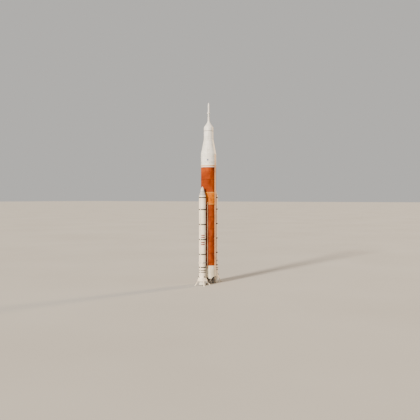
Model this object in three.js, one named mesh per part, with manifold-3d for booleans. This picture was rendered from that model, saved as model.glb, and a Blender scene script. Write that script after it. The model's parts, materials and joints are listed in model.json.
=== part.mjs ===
import * as THREE from "three";
import { mergeVertices } from "three/addons/utils/BufferGeometryUtils.js";
import Module from "manifold-3d";

// A heavy-lift space rocket at one tenth of its real size, standing on its eight support posts.
// Millimetres, +Z up. The boosters stand along X, the front faces -Y and the launch tower's side +Y.
// The origin is on the rocket's axis, on the floor under the posts' feet.

const wasm = await Module();
wasm.setup();

// Scale: one metre of the real rocket, in millimetres of this one
const M = 100;

// Radii
const CORE_R = 4.2 * M;
const BOOSTER_R = 1.855 * M;
const CAPSULE_R = 2.61 * M;
const TOWER_R = 0.42 * M;
const BOOSTER_X = 6.36 * M; // from the core's axis to each booster's

// Heights of the core and what it carries, above the floor
const TAIL_TIP = 3.4 * M;
const HEAT_SHIELD = 4.5 * M;
const SECTION_FOOT = 5.8 * M;
const HYDROGEN_FOOT = 10.5 * M;
const INTERTANK_FOOT = 44.2 * M;
const OXYGEN_FOOT = 51.0 * M;
const FORWARD_SKIRT_FOOT = 64.7 * M;
const INTERSTAGE_FOOT = 67.9 * M;
const ADAPTER_FOOT = 72.0 * M;
const ADAPTER_TOP = 80.3 * M;
const PANEL_FOOT = 81.3 * M;
const ABORT_FOOT = 84.6 * M;
const TOWER_FOOT = 91.0 * M;
const JETTISON_FOOT = 95.3 * M;
const ATTITUDE_FOOT = 97.6 * M;
const TIP = 100.5 * M;

// Heights of a booster
const SKIRT_FOOT = 2.5 * M;
const MOTOR_FOOT = 4.9 * M;
const ATTACH_RING = 12.4 * M;
const SEGMENT_FEET = [13.0 * M, 21.2 * M, 29.3 * M, 37.4 * M, 45.6 * M];
const NOSE_FOOT = 48.8 * M;
const NOSE_TIP = 53.95 * M;

// Sides of the round pieces
const CORE_SIDES = 40;
const BOOSTER_SIDES = 24;
const CAPSULE_SIDES = 30;
const TOWER_SIDES = 12;
const BELL_SIDES = 20;
const PIPE_SIDES = 8;

// Gaps: between pieces that rest on each other without moving, and round a ball in its seat as a
// share of the ball's radius
const SEAT_GAP = 0.4;
const BALL_GAP = 0.04;

const rocket = new THREE.Group();

// Finishes
const finish = (color, roughness, metalness) =>
  new THREE.MeshStandardMaterial({ color, roughness, metalness });
const ORANGE_FOAM = finish(0xc0662a, 0.9, 0);
const PALE_FOAM = finish(0xd09a72, 0.9, 0);
const WHITE_PAINT = finish(0xe6e4de, 0.55, 0);
const GREY_PAINT = finish(0xb4b4b0, 0.6, 0.2);
const BARE_METAL = finish(0x9a948c, 0.35, 0.9);
const DARK_METAL = finish(0x4c4845, 0.5, 0.8);
const BLANKET = finish(0xc9c6bd, 0.8, 0);

// Shape helpers

// A solid of revolution about Z from [radius, height] points that run upwards, axis to axis,
// or round a closed loop.
function turned(points, sides) {
  const profile = points.map(([r, z]) => new THREE.Vector2(r, z));
  return new THREE.LatheGeometry(profile, sides).rotateX(Math.PI / 2);
}

// A plain disc or tapered cylinder between two heights.
const drum = (r0, z0, r1, z1, sides) =>
  turned([[0, z0], [r0, z0], [r1, z1], [0, z1]], sides);

// A block given by its lowest and highest corners.
function block(low, high) {
  const size = high.map((value, i) => value - low[i]);
  const middle = high.map((value, i) => (value + low[i]) / 2);
  return new THREE.BoxGeometry(...size).translate(...middle);
}

// A round bar between two points.
function bar(from, to, r, sides) {
  const start = new THREE.Vector3(...from);
  const along = new THREE.Vector3(...to).sub(start);
  const turn = new THREE.Quaternion().setFromUnitVectors(
    new THREE.Vector3(0, 0, 1),
    along.clone().normalize(),
  );
  return drum(r, 0, r, along.length(), sides)
    .applyQuaternion(turn)
    .translate(...from);
}

// A three.js geometry as a solid that can be joined and cut.
function solid(geometry) {
  const bare = geometry.index ? geometry.toNonIndexed() : geometry.clone();
  bare.deleteAttribute("normal");
  bare.deleteAttribute("uv");
  const merged = mergeVertices(bare, 1e-4);
  return new wasm.Manifold(
    new wasm.Mesh({
      numProp: 3,
      vertProperties: merged.attributes.position.array,
      triVerts: new Uint32Array(merged.index.array),
    }),
  );
}

// The reverse: a solid as a three.js geometry.
function geometryOf(made) {
  const mesh = made.getMesh();
  return new THREE.BufferGeometry()
    .setAttribute("position", new THREE.BufferAttribute(mesh.vertProperties, 3))
    .setIndex(new THREE.BufferAttribute(mesh.triVerts, 1));
}

const joined = (...pieces) => pieces.map(solid).reduce((a, b) => a.add(b));
const cut = (made, ...tools) => tools.map(solid).reduce((a, b) => a.subtract(b), made);

// Adds a named piece to a group.
function piece(group, name, geometry, material) {
  const mesh = new THREE.Mesh(geometry, material);
  mesh.name = name;
  group.add(mesh);
  return mesh;
}

// Four places on the diagonals, as [x sign, y sign, words]
const CORNERS = [
  [-1, -1, "front_left"],
  [1, -1, "front_right"],
  [-1, 1, "back_left"],
  [1, 1, "back_right"],
];

// The two sides, as [x sign, word]
const SIDES = [
  [-1, "left"],
  [1, "right"],
];

// Core stage

const FRAME_PROUD = 0.06 * M; // the attach frame round the hydrogen tank
const FRAME_HALF = 0.15 * M;
const FLANGE_PROUD = 0.06 * M; // the bolted flanges at the intertank's ends
const FLANGE_H = 0.3 * M;
const HEAD_FLANGE_H = 0.12 * M; // the flanges above the forward skirt
const RIBS = 72; // the intertank's upright stiffeners
const RIB_PROUD = 0.038 * M;
const RIB_REACH = (CORE_R + RIB_PROUD) / Math.cos(Math.PI / CORE_SIDES); // a ring that clears them

// The core's outside from the engine section to the interstage, as [radius, height].
const hydrogenSide = [
  [CORE_R, HYDROGEN_FOOT],
  [CORE_R, ATTACH_RING - FRAME_HALF],
  [CORE_R + FRAME_PROUD, ATTACH_RING - FRAME_HALF],
  [CORE_R + FRAME_PROUD, ATTACH_RING + FRAME_HALF],
  [CORE_R, ATTACH_RING + FRAME_HALF],
  [CORE_R, INTERTANK_FOOT],
];
const intertankSide = [
  [CORE_R + FLANGE_PROUD, INTERTANK_FOOT],
  [CORE_R + FLANGE_PROUD, INTERTANK_FOOT + FLANGE_H],
  [RIB_REACH, INTERTANK_FOOT + FLANGE_H],
  [RIB_REACH, OXYGEN_FOOT - FLANGE_H],
  [CORE_R + FLANGE_PROUD, OXYGEN_FOOT - FLANGE_H],
  [CORE_R + FLANGE_PROUD, OXYGEN_FOOT],
];
const oxygenSide = [
  [CORE_R, OXYGEN_FOOT],
  [CORE_R, FORWARD_SKIRT_FOOT],
];
const forwardSkirtSide = [
  [CORE_R, FORWARD_SKIRT_FOOT],
  [CORE_R, INTERSTAGE_FOOT - HEAD_FLANGE_H],
  [CORE_R + FLANGE_PROUD, INTERSTAGE_FOOT - HEAD_FLANGE_H],
  [CORE_R + FLANGE_PROUD, INTERSTAGE_FOOT],
];
const interstageSide = [
  [CORE_R, INTERSTAGE_FOOT],
  [CORE_R, ADAPTER_FOOT - HEAD_FLANGE_H],
  [CORE_R + FLANGE_PROUD, ADAPTER_FOOT - HEAD_FLANGE_H],
  [CORE_R + FLANGE_PROUD, ADAPTER_FOOT],
];

// A side closed to the axis at both ends, and one grown outwards to cut its neighbours with.
const closed = (side) => [[0, side[0][1]], ...side, [0, side.at(-1)[1]]];
const grown = (side, by) => side.map(([r, z]) => [r + by, z]);

// Engines hang from ball gimbals under the engine section.
const ENGINE_OFFSET = 1.85 * M; // from the axis, along X and along Y
const GIMBAL_Z = 5.35 * M;
const BALL_R = 0.2 * M;
const BALL_FACE = 0.1 * M; // from the ball's centre to the flat faces of its two seats
const BOSS_R = 0.26 * M;
const BOSS_TOP = SECTION_FOOT + 0.05 * M - GIMBAL_Z; // a little way into the engine section

// A spherical seat above (way 1) or below (way -1) a ball, from its rim to the axis.
function seat(ballR, face, way, steps = 2) {
  const r = ballR * (1 + BALL_GAP);
  const rim = Math.acos(face / r);
  return Array.from({ length: steps + 1 }, (_, i) => {
    const angle = rim * (1 - i / steps);
    return [i === steps ? 0 : r * Math.sin(angle), way * r * Math.cos(angle)];
  });
}

// Umbilical plates on the tower's side, rooted in the skin. Their faces lie as far from the axis as
// the tunnel's does. The table's columns are the middle's x, half the width, foot and top.
const PLATE_REACH = 4.55 * M;
const PLATE_ROOT = CORE_R - 0.5 * M;
const PLATES = {
  tail_left: [-1.2 * M, 0.35 * M, 7.4 * M, 8.6 * M],
  tail_right: [1.2 * M, 0.35 * M, 7.4 * M, 8.6 * M],
  intertank: [0, 0.5 * M, 46.4 * M, 47.8 * M],
  forward: [0, 0.45 * M, 65.6 * M, 66.8 * M],
};
function plate(word) {
  const [x, half, foot, top] = PLATES[word];
  return block([x - half, PLATE_ROOT, foot], [x + half, PLATE_REACH, top]);
}

const thrustBoss = ([sx, sy]) =>
  turned(
    [
      ...seat(BALL_R, BALL_FACE, 1).reverse(),
      [BOSS_R, BALL_FACE],
      [BOSS_R, BOSS_TOP],
      [0, BOSS_TOP],
    ],
    TOWER_SIDES,
  ).translate(sx * ENGINE_OFFSET, sy * ENGINE_OFFSET, GIMBAL_Z);

piece(
  rocket,
  "engine_section",
  geometryOf(
    joined(
      drum(CORE_R, SECTION_FOOT, CORE_R, HYDROGEN_FOOT, CORE_SIDES),
      ...CORNERS.map(thrustBoss),
      plate("tail_left"),
      plate("tail_right"),
    ),
  ),
  WHITE_PAINT,
);

// The tail fairing: a tapered shell with the base heat shield across it. Its lower edge hangs in
// four tongues, one outside each engine, between arched openings.
const TAIL_TIP_R = 4.05 * M;
const TAIL_WALL = 0.12 * M;
const ENGINE_HOLE_R = 1.08 * M;
const ARCH_HALF = 2.15 * M;
const ARCH_H = 1.1 * M;
const tailR = (z) =>
  TAIL_TIP_R + ((CORE_R - TAIL_TIP_R) * (z - TAIL_TIP)) / (SECTION_FOOT - TAIL_TIP);
function tailFairing() {
  const shieldTop = HEAT_SHIELD + TAIL_WALL;
  const inner = (z) => tailR(z) - TAIL_WALL;
  const arch = new THREE.Shape().absellipse(0, TAIL_TIP, ARCH_HALF, ARCH_H, 0, Math.PI * 2);
  const tunnel = new THREE.ExtrudeGeometry(arch, {
    depth: 4 * CORE_R,
    bevelEnabled: false,
    curveSegments: 9,
  })
    .translate(0, 0, -2 * CORE_R)
    .rotateX(Math.PI / 2);
  const holes = CORNERS.map(([sx, sy]) =>
    drum(ENGINE_HOLE_R, HEAT_SHIELD - M, ENGINE_HOLE_R, shieldTop + M, BELL_SIDES).translate(
      sx * ENGINE_OFFSET,
      sy * ENGINE_OFFSET,
      0,
    ),
  );
  return cut(
    solid(drum(TAIL_TIP_R, TAIL_TIP, CORE_R, SECTION_FOOT, CORE_SIDES)),
    drum(inner(TAIL_TIP - M), TAIL_TIP - M, inner(HEAT_SHIELD), HEAT_SHIELD, CORE_SIDES),
    drum(inner(shieldTop), shieldTop, inner(SECTION_FOOT + M), SECTION_FOOT + M, CORE_SIDES),
    tunnel,
    tunnel.clone().rotateZ(Math.PI / 2),
    ...holes,
  );
}
piece(rocket, "tail_fairing", geometryOf(tailFairing()), WHITE_PAINT);

piece(rocket, "hydrogen_tank", turned(closed(hydrogenSide), CORE_SIDES), ORANGE_FOAM);

// The intertank is a ribbed drum between two flanges. It carries the boosters' forward fittings and
// one umbilical plate.
function ribbedDrum(r, proud, count, zLow, zHigh) {
  const corners = Array.from({ length: 4 * count }, (_, i) => {
    const angle = (Math.PI * i) / (2 * count);
    const out = i % 4 < 2 ? r + proud : r;
    return new THREE.Vector2(out * Math.cos(angle), out * Math.sin(angle));
  });
  return new THREE.ExtrudeGeometry(new THREE.Shape(corners), {
    depth: zHigh - zLow,
    bevelEnabled: false,
  }).translate(0, 0, zLow);
}
const THRUST_PAD_X = 4.357 * M;
const THRUST_PAD_ROOT = 4.1 * M;
const THRUST_PAD_Z = 47.6 * M;
const THRUST_PAD_HALF = 0.4 * M;
const THRUST_PAD_HALF_H = 0.6 * M;
const thrustPad = (turn) =>
  block(
    [THRUST_PAD_ROOT, -THRUST_PAD_HALF, THRUST_PAD_Z - THRUST_PAD_HALF_H],
    [THRUST_PAD_X, THRUST_PAD_HALF, THRUST_PAD_Z + THRUST_PAD_HALF_H],
  ).rotateZ(turn);
const flange = (foot) =>
  drum(CORE_R + FLANGE_PROUD, foot, CORE_R + FLANGE_PROUD, foot + FLANGE_H, CORE_SIDES);
piece(
  rocket,
  "intertank",
  geometryOf(
    joined(
      flange(INTERTANK_FOOT),
      flange(OXYGEN_FOOT - FLANGE_H),
      ribbedDrum(
        CORE_R,
        RIB_PROUD,
        RIBS,
        INTERTANK_FOOT + FLANGE_H / 2,
        OXYGEN_FOOT - FLANGE_H / 2,
      ),
      thrustPad(0),
      thrustPad(Math.PI),
      plate("intertank"),
    ),
  ),
  ORANGE_FOAM,
);

piece(rocket, "oxygen_tank", turned(closed(oxygenSide), CORE_SIDES), ORANGE_FOAM);

piece(
  rocket,
  "forward_skirt",
  geometryOf(
    joined(
      turned(closed(forwardSkirtSide), CORE_SIDES),
      plate("forward"),
    ),
  ),
  WHITE_PAINT,
);

// The systems tunnel runs up the front, cut to the core's outside.
const TUNNEL_FOOT = 9.0 * M;
const TUNNEL_TOP = 71.6 * M;
const TUNNEL_HALF = 0.3 * M;
const TUNNEL_CAP_HALF = 0.2 * M;
const TUNNEL_ROOT = CORE_R - 0.3 * M;
const TUNNEL_SHOULDER = CORE_R + 0.15 * M;
function systemsTunnel() {
  const section = new THREE.Shape([
    new THREE.Vector2(-TUNNEL_HALF, TUNNEL_ROOT),
    new THREE.Vector2(TUNNEL_HALF, TUNNEL_ROOT),
    new THREE.Vector2(TUNNEL_HALF, TUNNEL_SHOULDER),
    new THREE.Vector2(TUNNEL_CAP_HALF, PLATE_REACH),
    new THREE.Vector2(-TUNNEL_CAP_HALF, PLATE_REACH),
    new THREE.Vector2(-TUNNEL_HALF, TUNNEL_SHOULDER),
  ]);
  const box = new THREE.ExtrudeGeometry(section, {
    depth: TUNNEL_TOP - TUNNEL_FOOT,
    bevelEnabled: false,
  })
    .rotateZ(Math.PI)
    .translate(0, 0, TUNNEL_FOOT);
  const sectionSide = [
    [CORE_R, SECTION_FOOT],
    [CORE_R, HYDROGEN_FOOT],
  ];
  const tankSides = [hydrogenSide, intertankSide, oxygenSide];
  const sides = [sectionSide, ...tankSides, forwardSkirtSide, interstageSide];
  const core = closed(sides.flatMap((side) => grown(side, SEAT_GAP)));
  return cut(solid(box), turned(core, CORE_SIDES));
}
piece(rocket, "systems_tunnel", geometryOf(systemsTunnel()), PALE_FOAM);

// Two oxygen feedlines run down the hydrogen tank from the intertank to the engine section. Each
// has an elbow at both ends and is held by saddle brackets.
const FEED_ANGLE = THREE.MathUtils.degToRad(65.3); // from the front, towards each booster
const FEED_R = 0.21 * M;
const FEED_AXIS = 4.55 * M;
const FEED_FOOT = 9.4 * M;
const FEED_TOP = 45.4 * M;
const SADDLES = 15;
const SADDLE_HALF = 0.3 * M;
const SADDLE_HALF_H = 0.11 * M;
const SADDLE_FACE = FEED_AXIS + 0.04 * M;
const SADDLE_INSET = 2 * M; // from each end of the line to its nearest saddle
function feedline(side) {
  const onTank = CORE_R + SEAT_GAP;
  const onRibs = RIB_REACH + SEAT_GAP;
  const elbow = (z, root) => [
    new THREE.SphereGeometry(FEED_R, PIPE_SIDES, 8).rotateX(Math.PI / 2).translate(0, -FEED_AXIS, z),
    bar([0, -FEED_AXIS, z], [0, -root, z], FEED_R, PIPE_SIDES),
  ];
  const saddles = Array.from({ length: SADDLES }, (_, i) => {
    const share = i / (SADDLES - 1);
    const z = FEED_FOOT + SADDLE_INSET + share * (FEED_TOP - FEED_FOOT - 2 * SADDLE_INSET);
    return block(
      [-SADDLE_HALF, -SADDLE_FACE, z - SADDLE_HALF_H],
      [SADDLE_HALF, -onTank, z + SADDLE_HALF_H],
    );
  });
  return joined(
    bar([0, -FEED_AXIS, FEED_FOOT], [0, -FEED_AXIS, FEED_TOP], FEED_R, PIPE_SIDES),
    ...elbow(FEED_FOOT, onTank),
    ...elbow(FEED_TOP, onRibs),
    ...saddles,
  ).rotate([0, 0, side * THREE.MathUtils.radToDeg(FEED_ANGLE)]);
}
for (const [side, word] of SIDES)
  piece(rocket, `feedline_${word}`, geometryOf(feedline(side)), PALE_FOAM);

// Upper stage and spacecraft

piece(rocket, "interstage", turned(closed(interstageSide), CORE_SIDES), WHITE_PAINT);

piece(
  rocket,
  "stage_adapter",
  drum(CORE_R, ADAPTER_FOOT, CAPSULE_R, ADAPTER_TOP, CORE_SIDES),
  WHITE_PAINT,
);

// The clamp ring under the spacecraft
const CLAMP_PROUD = 0.05 * M;
const clampSide = [
  [CAPSULE_R, ADAPTER_TOP],
  [CAPSULE_R + CLAMP_PROUD, ADAPTER_TOP + 0.2 * M],
  [CAPSULE_R + CLAMP_PROUD, ADAPTER_TOP + 0.4 * M],
  [CAPSULE_R, ADAPTER_TOP + 0.5 * M],
  [CAPSULE_R, PANEL_FOOT],
];
piece(rocket, "spacecraft_adapter", turned(closed(clampSide), CAPSULE_SIDES), WHITE_PAINT);

const SERVICE_R = 2.3 * M;
piece(
  rocket,
  "service_module",
  drum(SERVICE_R, PANEL_FOOT, SERVICE_R, ABORT_FOOT, CAPSULE_SIDES),
  GREY_PAINT,
);

// A curved wall between two radii, two angles from +X and two heights.
function wall(rIn, rOut, from, to, zLow, zHigh, steps) {
  const shape = new THREE.Shape();
  shape.absarc(0, 0, rOut, from, to, false);
  shape.absarc(0, 0, rIn, to, from, true);
  return new THREE.ExtrudeGeometry(shape, {
    depth: zHigh - zLow,
    bevelEnabled: false,
    curveSegments: steps,
  }).translate(0, 0, zLow);
}

// Three panels close the service module in. Each is a third of a turn, less a seam.
const PANEL_WALL = 0.14 * M;
const PANEL_SEAM = 0.01 * M;
for (let i = 0; i < 3; i++) {
  const seam = PANEL_SEAM / CAPSULE_R;
  const start = Math.PI / 2 + (i * 2 * Math.PI) / 3 + seam / 2;
  const end = start + (2 * Math.PI) / 3 - seam;
  piece(
    rocket,
    `service_panel_${i + 1}`,
    wall(CAPSULE_R - PANEL_WALL, CAPSULE_R, start, end, PANEL_FOOT, ABORT_FOOT, 12),
    WHITE_PAINT,
  );
}

// The crew module is a blunt cone inside the abort fairing.
const crewSide = [
  [2.25 * M, ABORT_FOOT],
  [2.25 * M, ABORT_FOOT + 0.15 * M],
  [0.78 * M, ABORT_FOOT + 3.3 * M],
  [0.3 * M, ABORT_FOOT + 3.4 * M],
];
piece(rocket, "crew_module", turned(closed(crewSide), CAPSULE_SIDES), GREY_PAINT);

// The abort fairing: a straight shell round the crew module, then a shoulder that sweeps in to
// the tower. The table's columns are the outer radius, the inner radius and the height.
const FAIRING = [
  [2.61 * M, 2.51 * M, 84.6 * M],
  [2.61 * M, 2.51 * M, 86.5 * M],
  [2.45 * M, 2.33 * M, 87.2 * M],
  [2.05 * M, 1.9 * M, 87.9 * M],
  [1.38 * M, 1.18 * M, 88.7 * M],
  [0.84 * M, 0.64 * M, 89.5 * M],
  [0.58 * M, 0.38 * M, 90.3 * M],
];
const FAIRING_TOP_R = 0.48 * M;
const FAIRING_WALL = 0.1 * M;
const OPENING_IN = 2.3 * M; // the hatchway's cut runs from here out through the wall
const OPENING_OUT = 2.8 * M;
const HATCH_HALF = THREE.MathUtils.degToRad(11); // half the opening, from +Y
const HATCH_LOW = 84.85 * M;
const HATCH_HIGH = 86.05 * M;
const HATCH_GAP = 0.05 * M;
const HINGE_R = 2.67 * M; // the hinge line, just outside the skin and over the gap
const HINGE_ANGLE = Math.PI / 2 + THREE.MathUtils.degToRad(10.4);
const HINGE = [HINGE_R * Math.cos(HINGE_ANGLE), HINGE_R * Math.sin(HINGE_ANGLE)];
const HINGE_Z = (HATCH_LOW + HATCH_HIGH) / 2;
const KNUCKLE_R = 0.045 * M;
const KNUCKLE_HALF = 0.15 * M;
const KNUCKLE_GAP = 0.005 * M;
const LEAF_PROUD = 0.02 * M; // the hinge's leaves stand this far past its pin
const LEAF_L = 0.14 * M;
const LEAF_ROOT = 0.08 * M;
const EAR_L = 0.1 * M;
const EAR_ROOT = 0.12 * M;
const knuckle = (zLow, zHigh) =>
  drum(KNUCKLE_R, zLow, KNUCKLE_R, zHigh, PIPE_SIDES).translate(HINGE[0], HINGE[1], 0);
function abortFairing() {
  const outer = FAIRING.map(([rOut, , z]) => [rOut, z]);
  const inner = FAIRING.map(([, rIn, z]) => [rIn, z]).reverse();
  const shell = turned(
    [[0, inner[0][1]], ...inner, ...outer, [FAIRING_TOP_R, TOWER_FOOT], [0, TOWER_FOOT]],
    CAPSULE_SIDES,
  );
  const opening = wall(
    OPENING_IN,
    OPENING_OUT,
    Math.PI / 2 - HATCH_HALF,
    Math.PI / 2 + HATCH_HALF,
    HATCH_LOW,
    HATCH_HIGH,
    6,
  );
  // Each hinge barrel stands on the skin beside the opening, above and below the hatch's own.
  const barrel = (zLow, zHigh) => [
    knuckle(zLow, zHigh),
    block(
      [HINGE[0] - EAR_L, HINGE[1] - EAR_ROOT, zLow],
      [HINGE[0], HINGE[1] + LEAF_PROUD, zHigh],
    ),
  ];
  const end = KNUCKLE_HALF + KNUCKLE_GAP;
  return cut(solid(shell), opening)
    .add(joined(...barrel(HINGE_Z + end, HINGE_Z + 2 * KNUCKLE_HALF)))
    .add(joined(...barrel(HINGE_Z - 2 * KNUCKLE_HALF, HINGE_Z - end)));
}
piece(rocket, "abort_fairing", geometryOf(abortFairing()), WHITE_PAINT);

const HATCH_PANEL_HALF = HATCH_HALF - HATCH_GAP / CAPSULE_R;
piece(
  rocket,
  "crew_hatch",
  geometryOf(
    joined(
      wall(
        CAPSULE_R - FAIRING_WALL,
        CAPSULE_R,
        Math.PI / 2 - HATCH_PANEL_HALF,
        Math.PI / 2 + HATCH_PANEL_HALF,
        HATCH_LOW + HATCH_GAP,
        HATCH_HIGH - HATCH_GAP,
        6,
      ),
      knuckle(HINGE_Z - KNUCKLE_HALF, HINGE_Z + KNUCKLE_HALF),
      block(
        [HINGE[0], HINGE[1] - LEAF_ROOT, HINGE_Z - KNUCKLE_HALF],
        [HINGE[0] + LEAF_L, HINGE[1] + LEAF_PROUD, HINGE_Z + KNUCKLE_HALF],
      ),
    ),
  ),
  WHITE_PAINT,
);

// The abort tower: abort motor with its four nozzles, jettison motor, attitude motor and nose.
const ABORT_NOZZLE_Z = 94.95 * M;
const ABORT_CANT = THREE.MathUtils.degToRad(40); // from straight down, outwards
const ABORT_NOZZLE_L = 0.8 * M;
const ABORT_NOZZLE_ROOT = 0.1 * M; // how far each nozzle starts inside the collar
const ABORT_NOZZLE_OUT = 0.36 * M; // from the axis
const ABORT_THROAT_R = 0.12 * M;
const ABORT_MOUTH_R = 0.23 * M;
const COLLAR_R = TOWER_R + 0.08 * M;
const abortNozzle = ([sx, sy]) =>
  drum(ABORT_THROAT_R, 0, ABORT_MOUTH_R, ABORT_NOZZLE_L, TOWER_SIDES)
    .rotateX(Math.PI)
    .translate(0, 0, ABORT_NOZZLE_ROOT)
    .rotateY(-ABORT_CANT)
    .translate(ABORT_NOZZLE_OUT, 0, ABORT_NOZZLE_Z)
    .rotateZ(Math.atan2(sy, sx));
const abortSide = [
  [FAIRING_TOP_R, TOWER_FOOT],
  [FAIRING_TOP_R, TOWER_FOOT + 1.2 * M],
  [TOWER_R, TOWER_FOOT + 1.5 * M],
  [TOWER_R, ABORT_NOZZLE_Z - 0.5 * M],
  [COLLAR_R, ABORT_NOZZLE_Z - 0.4 * M],
  [COLLAR_R, ABORT_NOZZLE_Z + 0.2 * M],
  [TOWER_R, JETTISON_FOOT],
];
piece(
  rocket,
  "abort_motor",
  geometryOf(joined(turned(closed(abortSide), TOWER_SIDES), ...CORNERS.map(abortNozzle))),
  WHITE_PAINT,
);

const JETTISON_R = 0.37 * M;
const jettisonSide = [
  [TOWER_R, JETTISON_FOOT],
  [TOWER_R, JETTISON_FOOT + 0.5 * M],
  [JETTISON_R, JETTISON_FOOT + 0.8 * M],
  [JETTISON_R, ATTITUDE_FOOT],
];
piece(rocket, "jettison_motor", turned(closed(jettisonSide), TOWER_SIDES), WHITE_PAINT);

const attitudeSide = [
  [0.4 * M, ATTITUDE_FOOT],
  [0.4 * M, ATTITUDE_FOOT + 0.8 * M],
  [0.35 * M, ATTITUDE_FOOT + 1.1 * M],
  [0.3 * M, TIP - 0.8 * M],
  [0.2 * M, TIP - 0.25 * M],
  [0.1 * M, TIP - 0.05 * M],
];
piece(
  rocket,
  "attitude_motor",
  turned([[0, ATTITUDE_FOOT], ...attitudeSide, [0, TIP]], TOWER_SIDES),
  WHITE_PAINT,
);

// Main engines: a ball, a plain block for the pumps and chamber, and a nozzle with its heat shield

const CHAMBER_FOOT = -0.95 * M; // heights below are from the ball's centre
const ENGINE_FOOT = -4.1 * M;
const THROAT_R = 0.16 * M;
const BELL_EXIT_R = 1.12 * M;
const BELL_WALL = 0.05 * M;
const BELL_CURVE = 2.1; // how quickly the bell opens below its throat
const DOME_R = 1.25 * M; // the round shield turns about the ball inside the heat shield's hole
const DOME_WALL = 0.06 * M;
const DOME_EDGE = THREE.MathUtils.degToRad(57);
const DOME_NECK_R = 0.36 * M;
const COLLAR_IN = DOME_NECK_R - 0.02 * M;
const bellR = (share) => THROAT_R + (BELL_EXIT_R - THROAT_R) * (1 - (1 - share) ** BELL_CURVE);
const bellPoint = (share, wallT) => [
  bellR(share) + wallT,
  CHAMBER_FOOT + share * (ENGINE_FOOT - CHAMBER_FOOT),
];
function domeArc(r, steps) {
  const neck = Math.asin(DOME_NECK_R / r);
  return Array.from({ length: steps + 1 }, (_, i) => {
    const angle = neck + ((DOME_EDGE - neck) * i) / steps;
    return [r * Math.sin(angle), -r * Math.cos(angle)];
  });
}
function engineNozzle() {
  const inside = [0, 0.16, 0.45, 1].map((share) => bellPoint(share, 0));
  const outside = [1, 0.6, 0.28].map((share) => bellPoint(share, BELL_WALL));
  const loop = [
    ...inside,
    ...outside,
    ...domeArc(DOME_R, 3),
    ...domeArc(DOME_R - DOME_WALL, 2).reverse(),
    [COLLAR_IN, CHAMBER_FOOT],
  ];
  return turned([...loop, loop[0]], BELL_SIDES);
}
const PUMPS_R = 0.6 * M;
const enginePumps = () =>
  turned(
    [
      [0, CHAMBER_FOOT],
      [COLLAR_IN, CHAMBER_FOOT],
      [DOME_NECK_R, -0.88 * M],
      [PUMPS_R, -0.72 * M],
      [PUMPS_R, -0.28 * M],
      [BOSS_R, -0.22 * M],
      [BOSS_R, -BALL_FACE],
      ...seat(BALL_R, BALL_FACE, -1),
    ],
    TOWER_SIDES,
  );
function ball(r, steps) {
  const half = Array.from({ length: steps + 1 }, (_, i) => {
    const angle = (Math.PI * i) / steps;
    return [i % steps ? r * Math.sin(angle) : 0, -r * Math.cos(angle)];
  });
  return turned(half, TOWER_SIDES);
}
for (const [sx, sy, word] of CORNERS) {
  const engine = new THREE.Group();
  engine.position.set(sx * ENGINE_OFFSET, sy * ENGINE_OFFSET, GIMBAL_Z);
  rocket.add(engine);
  piece(engine, `engine_${word}_gimbal`, ball(BALL_R, 6), BARE_METAL);
  piece(engine, `engine_${word}_pumps`, enginePumps(), DARK_METAL);
  piece(engine, `engine_${word}_nozzle`, engineNozzle(), BARE_METAL);
}

// Boosters, each in a group at its own axis, with the core towards +X of the group

const JOINT_PROUD = 0.05 * M; // the pinned joint at the foot of each upper segment
const JOINT_H = 0.3 * M;
const BEARING_Z = 4.4 * M; // the ball that the booster's nozzle swings on
const BEARING_R = 0.45 * M;
const BEARING_FACE = 0.2 * M;
const THRUST_LENGTH = -4.05 * M; // from the ball's centre down to the nozzle's mouth
const ATTACH_PROUD = 0.16 * M;
const ATTACH_HALF = 0.3 * M;
const STIFFENERS = [7.3 * M, 8.1 * M]; // rings round the aft segment
const STIFFENER_PROUD = 0.08 * M;
const STIFFENER_HALF = 0.06 * M;

const aftSide = [
  [BOOSTER_R, MOTOR_FOOT],
  ...STIFFENERS.flatMap((z) => [
    [BOOSTER_R, z - STIFFENER_HALF],
    [BOOSTER_R + STIFFENER_PROUD, z - STIFFENER_HALF],
    [BOOSTER_R + STIFFENER_PROUD, z + STIFFENER_HALF],
    [BOOSTER_R, z + STIFFENER_HALF],
  ]),
  [BOOSTER_R, SEGMENT_FEET[0]],
];
const segmentSide = (foot, top) => [
  [BOOSTER_R + JOINT_PROUD, foot],
  [BOOSTER_R + JOINT_PROUD, foot + JOINT_H],
  [BOOSTER_R, foot + JOINT_H],
  [BOOSTER_R, top],
];
const SEGMENTS = ["center_segment_1", "center_segment_2", "center_segment_3", "forward_segment"];
const segmentSides = SEGMENTS.map((_, i) => segmentSide(SEGMENT_FEET[i], SEGMENT_FEET[i + 1]));

const THRUST_BOSS_R = 0.55 * M; // the boss under the aft segment, over the nozzle's ball
const aftSegment = () =>
  turned(
    [
      ...seat(BEARING_R, BEARING_FACE, 1)
        .reverse()
        .map(([r, z]) => [r, BEARING_Z + z]),
      [THRUST_BOSS_R, BEARING_Z + BEARING_FACE],
      [THRUST_BOSS_R, MOTOR_FOOT],
      ...aftSide,
      [0, SEGMENT_FEET[0]],
    ],
    BOOSTER_SIDES,
  );

// The aft skirt flares out to the ring that stands on the posts.
const SKIRT_WALL = 0.12 * M;
const SKIRT_FOOT_R = 2.7 * M;
const SKIRT_TOP_R = BOOSTER_R + 0.08 * M;
const aftSkirt = () => {
  const outer = [
    [SKIRT_FOOT_R, SKIRT_FOOT],
    [SKIRT_FOOT_R, SKIRT_FOOT + 0.2 * M],
    [SKIRT_TOP_R, MOTOR_FOOT - 0.15 * M],
    [SKIRT_TOP_R, MOTOR_FOOT],
  ];
  const inner = outer.map(([r, z]) => [r - SKIRT_WALL, z]).reverse();
  return turned([...outer, ...inner, outer[0]], BOOSTER_SIDES);
};

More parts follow.
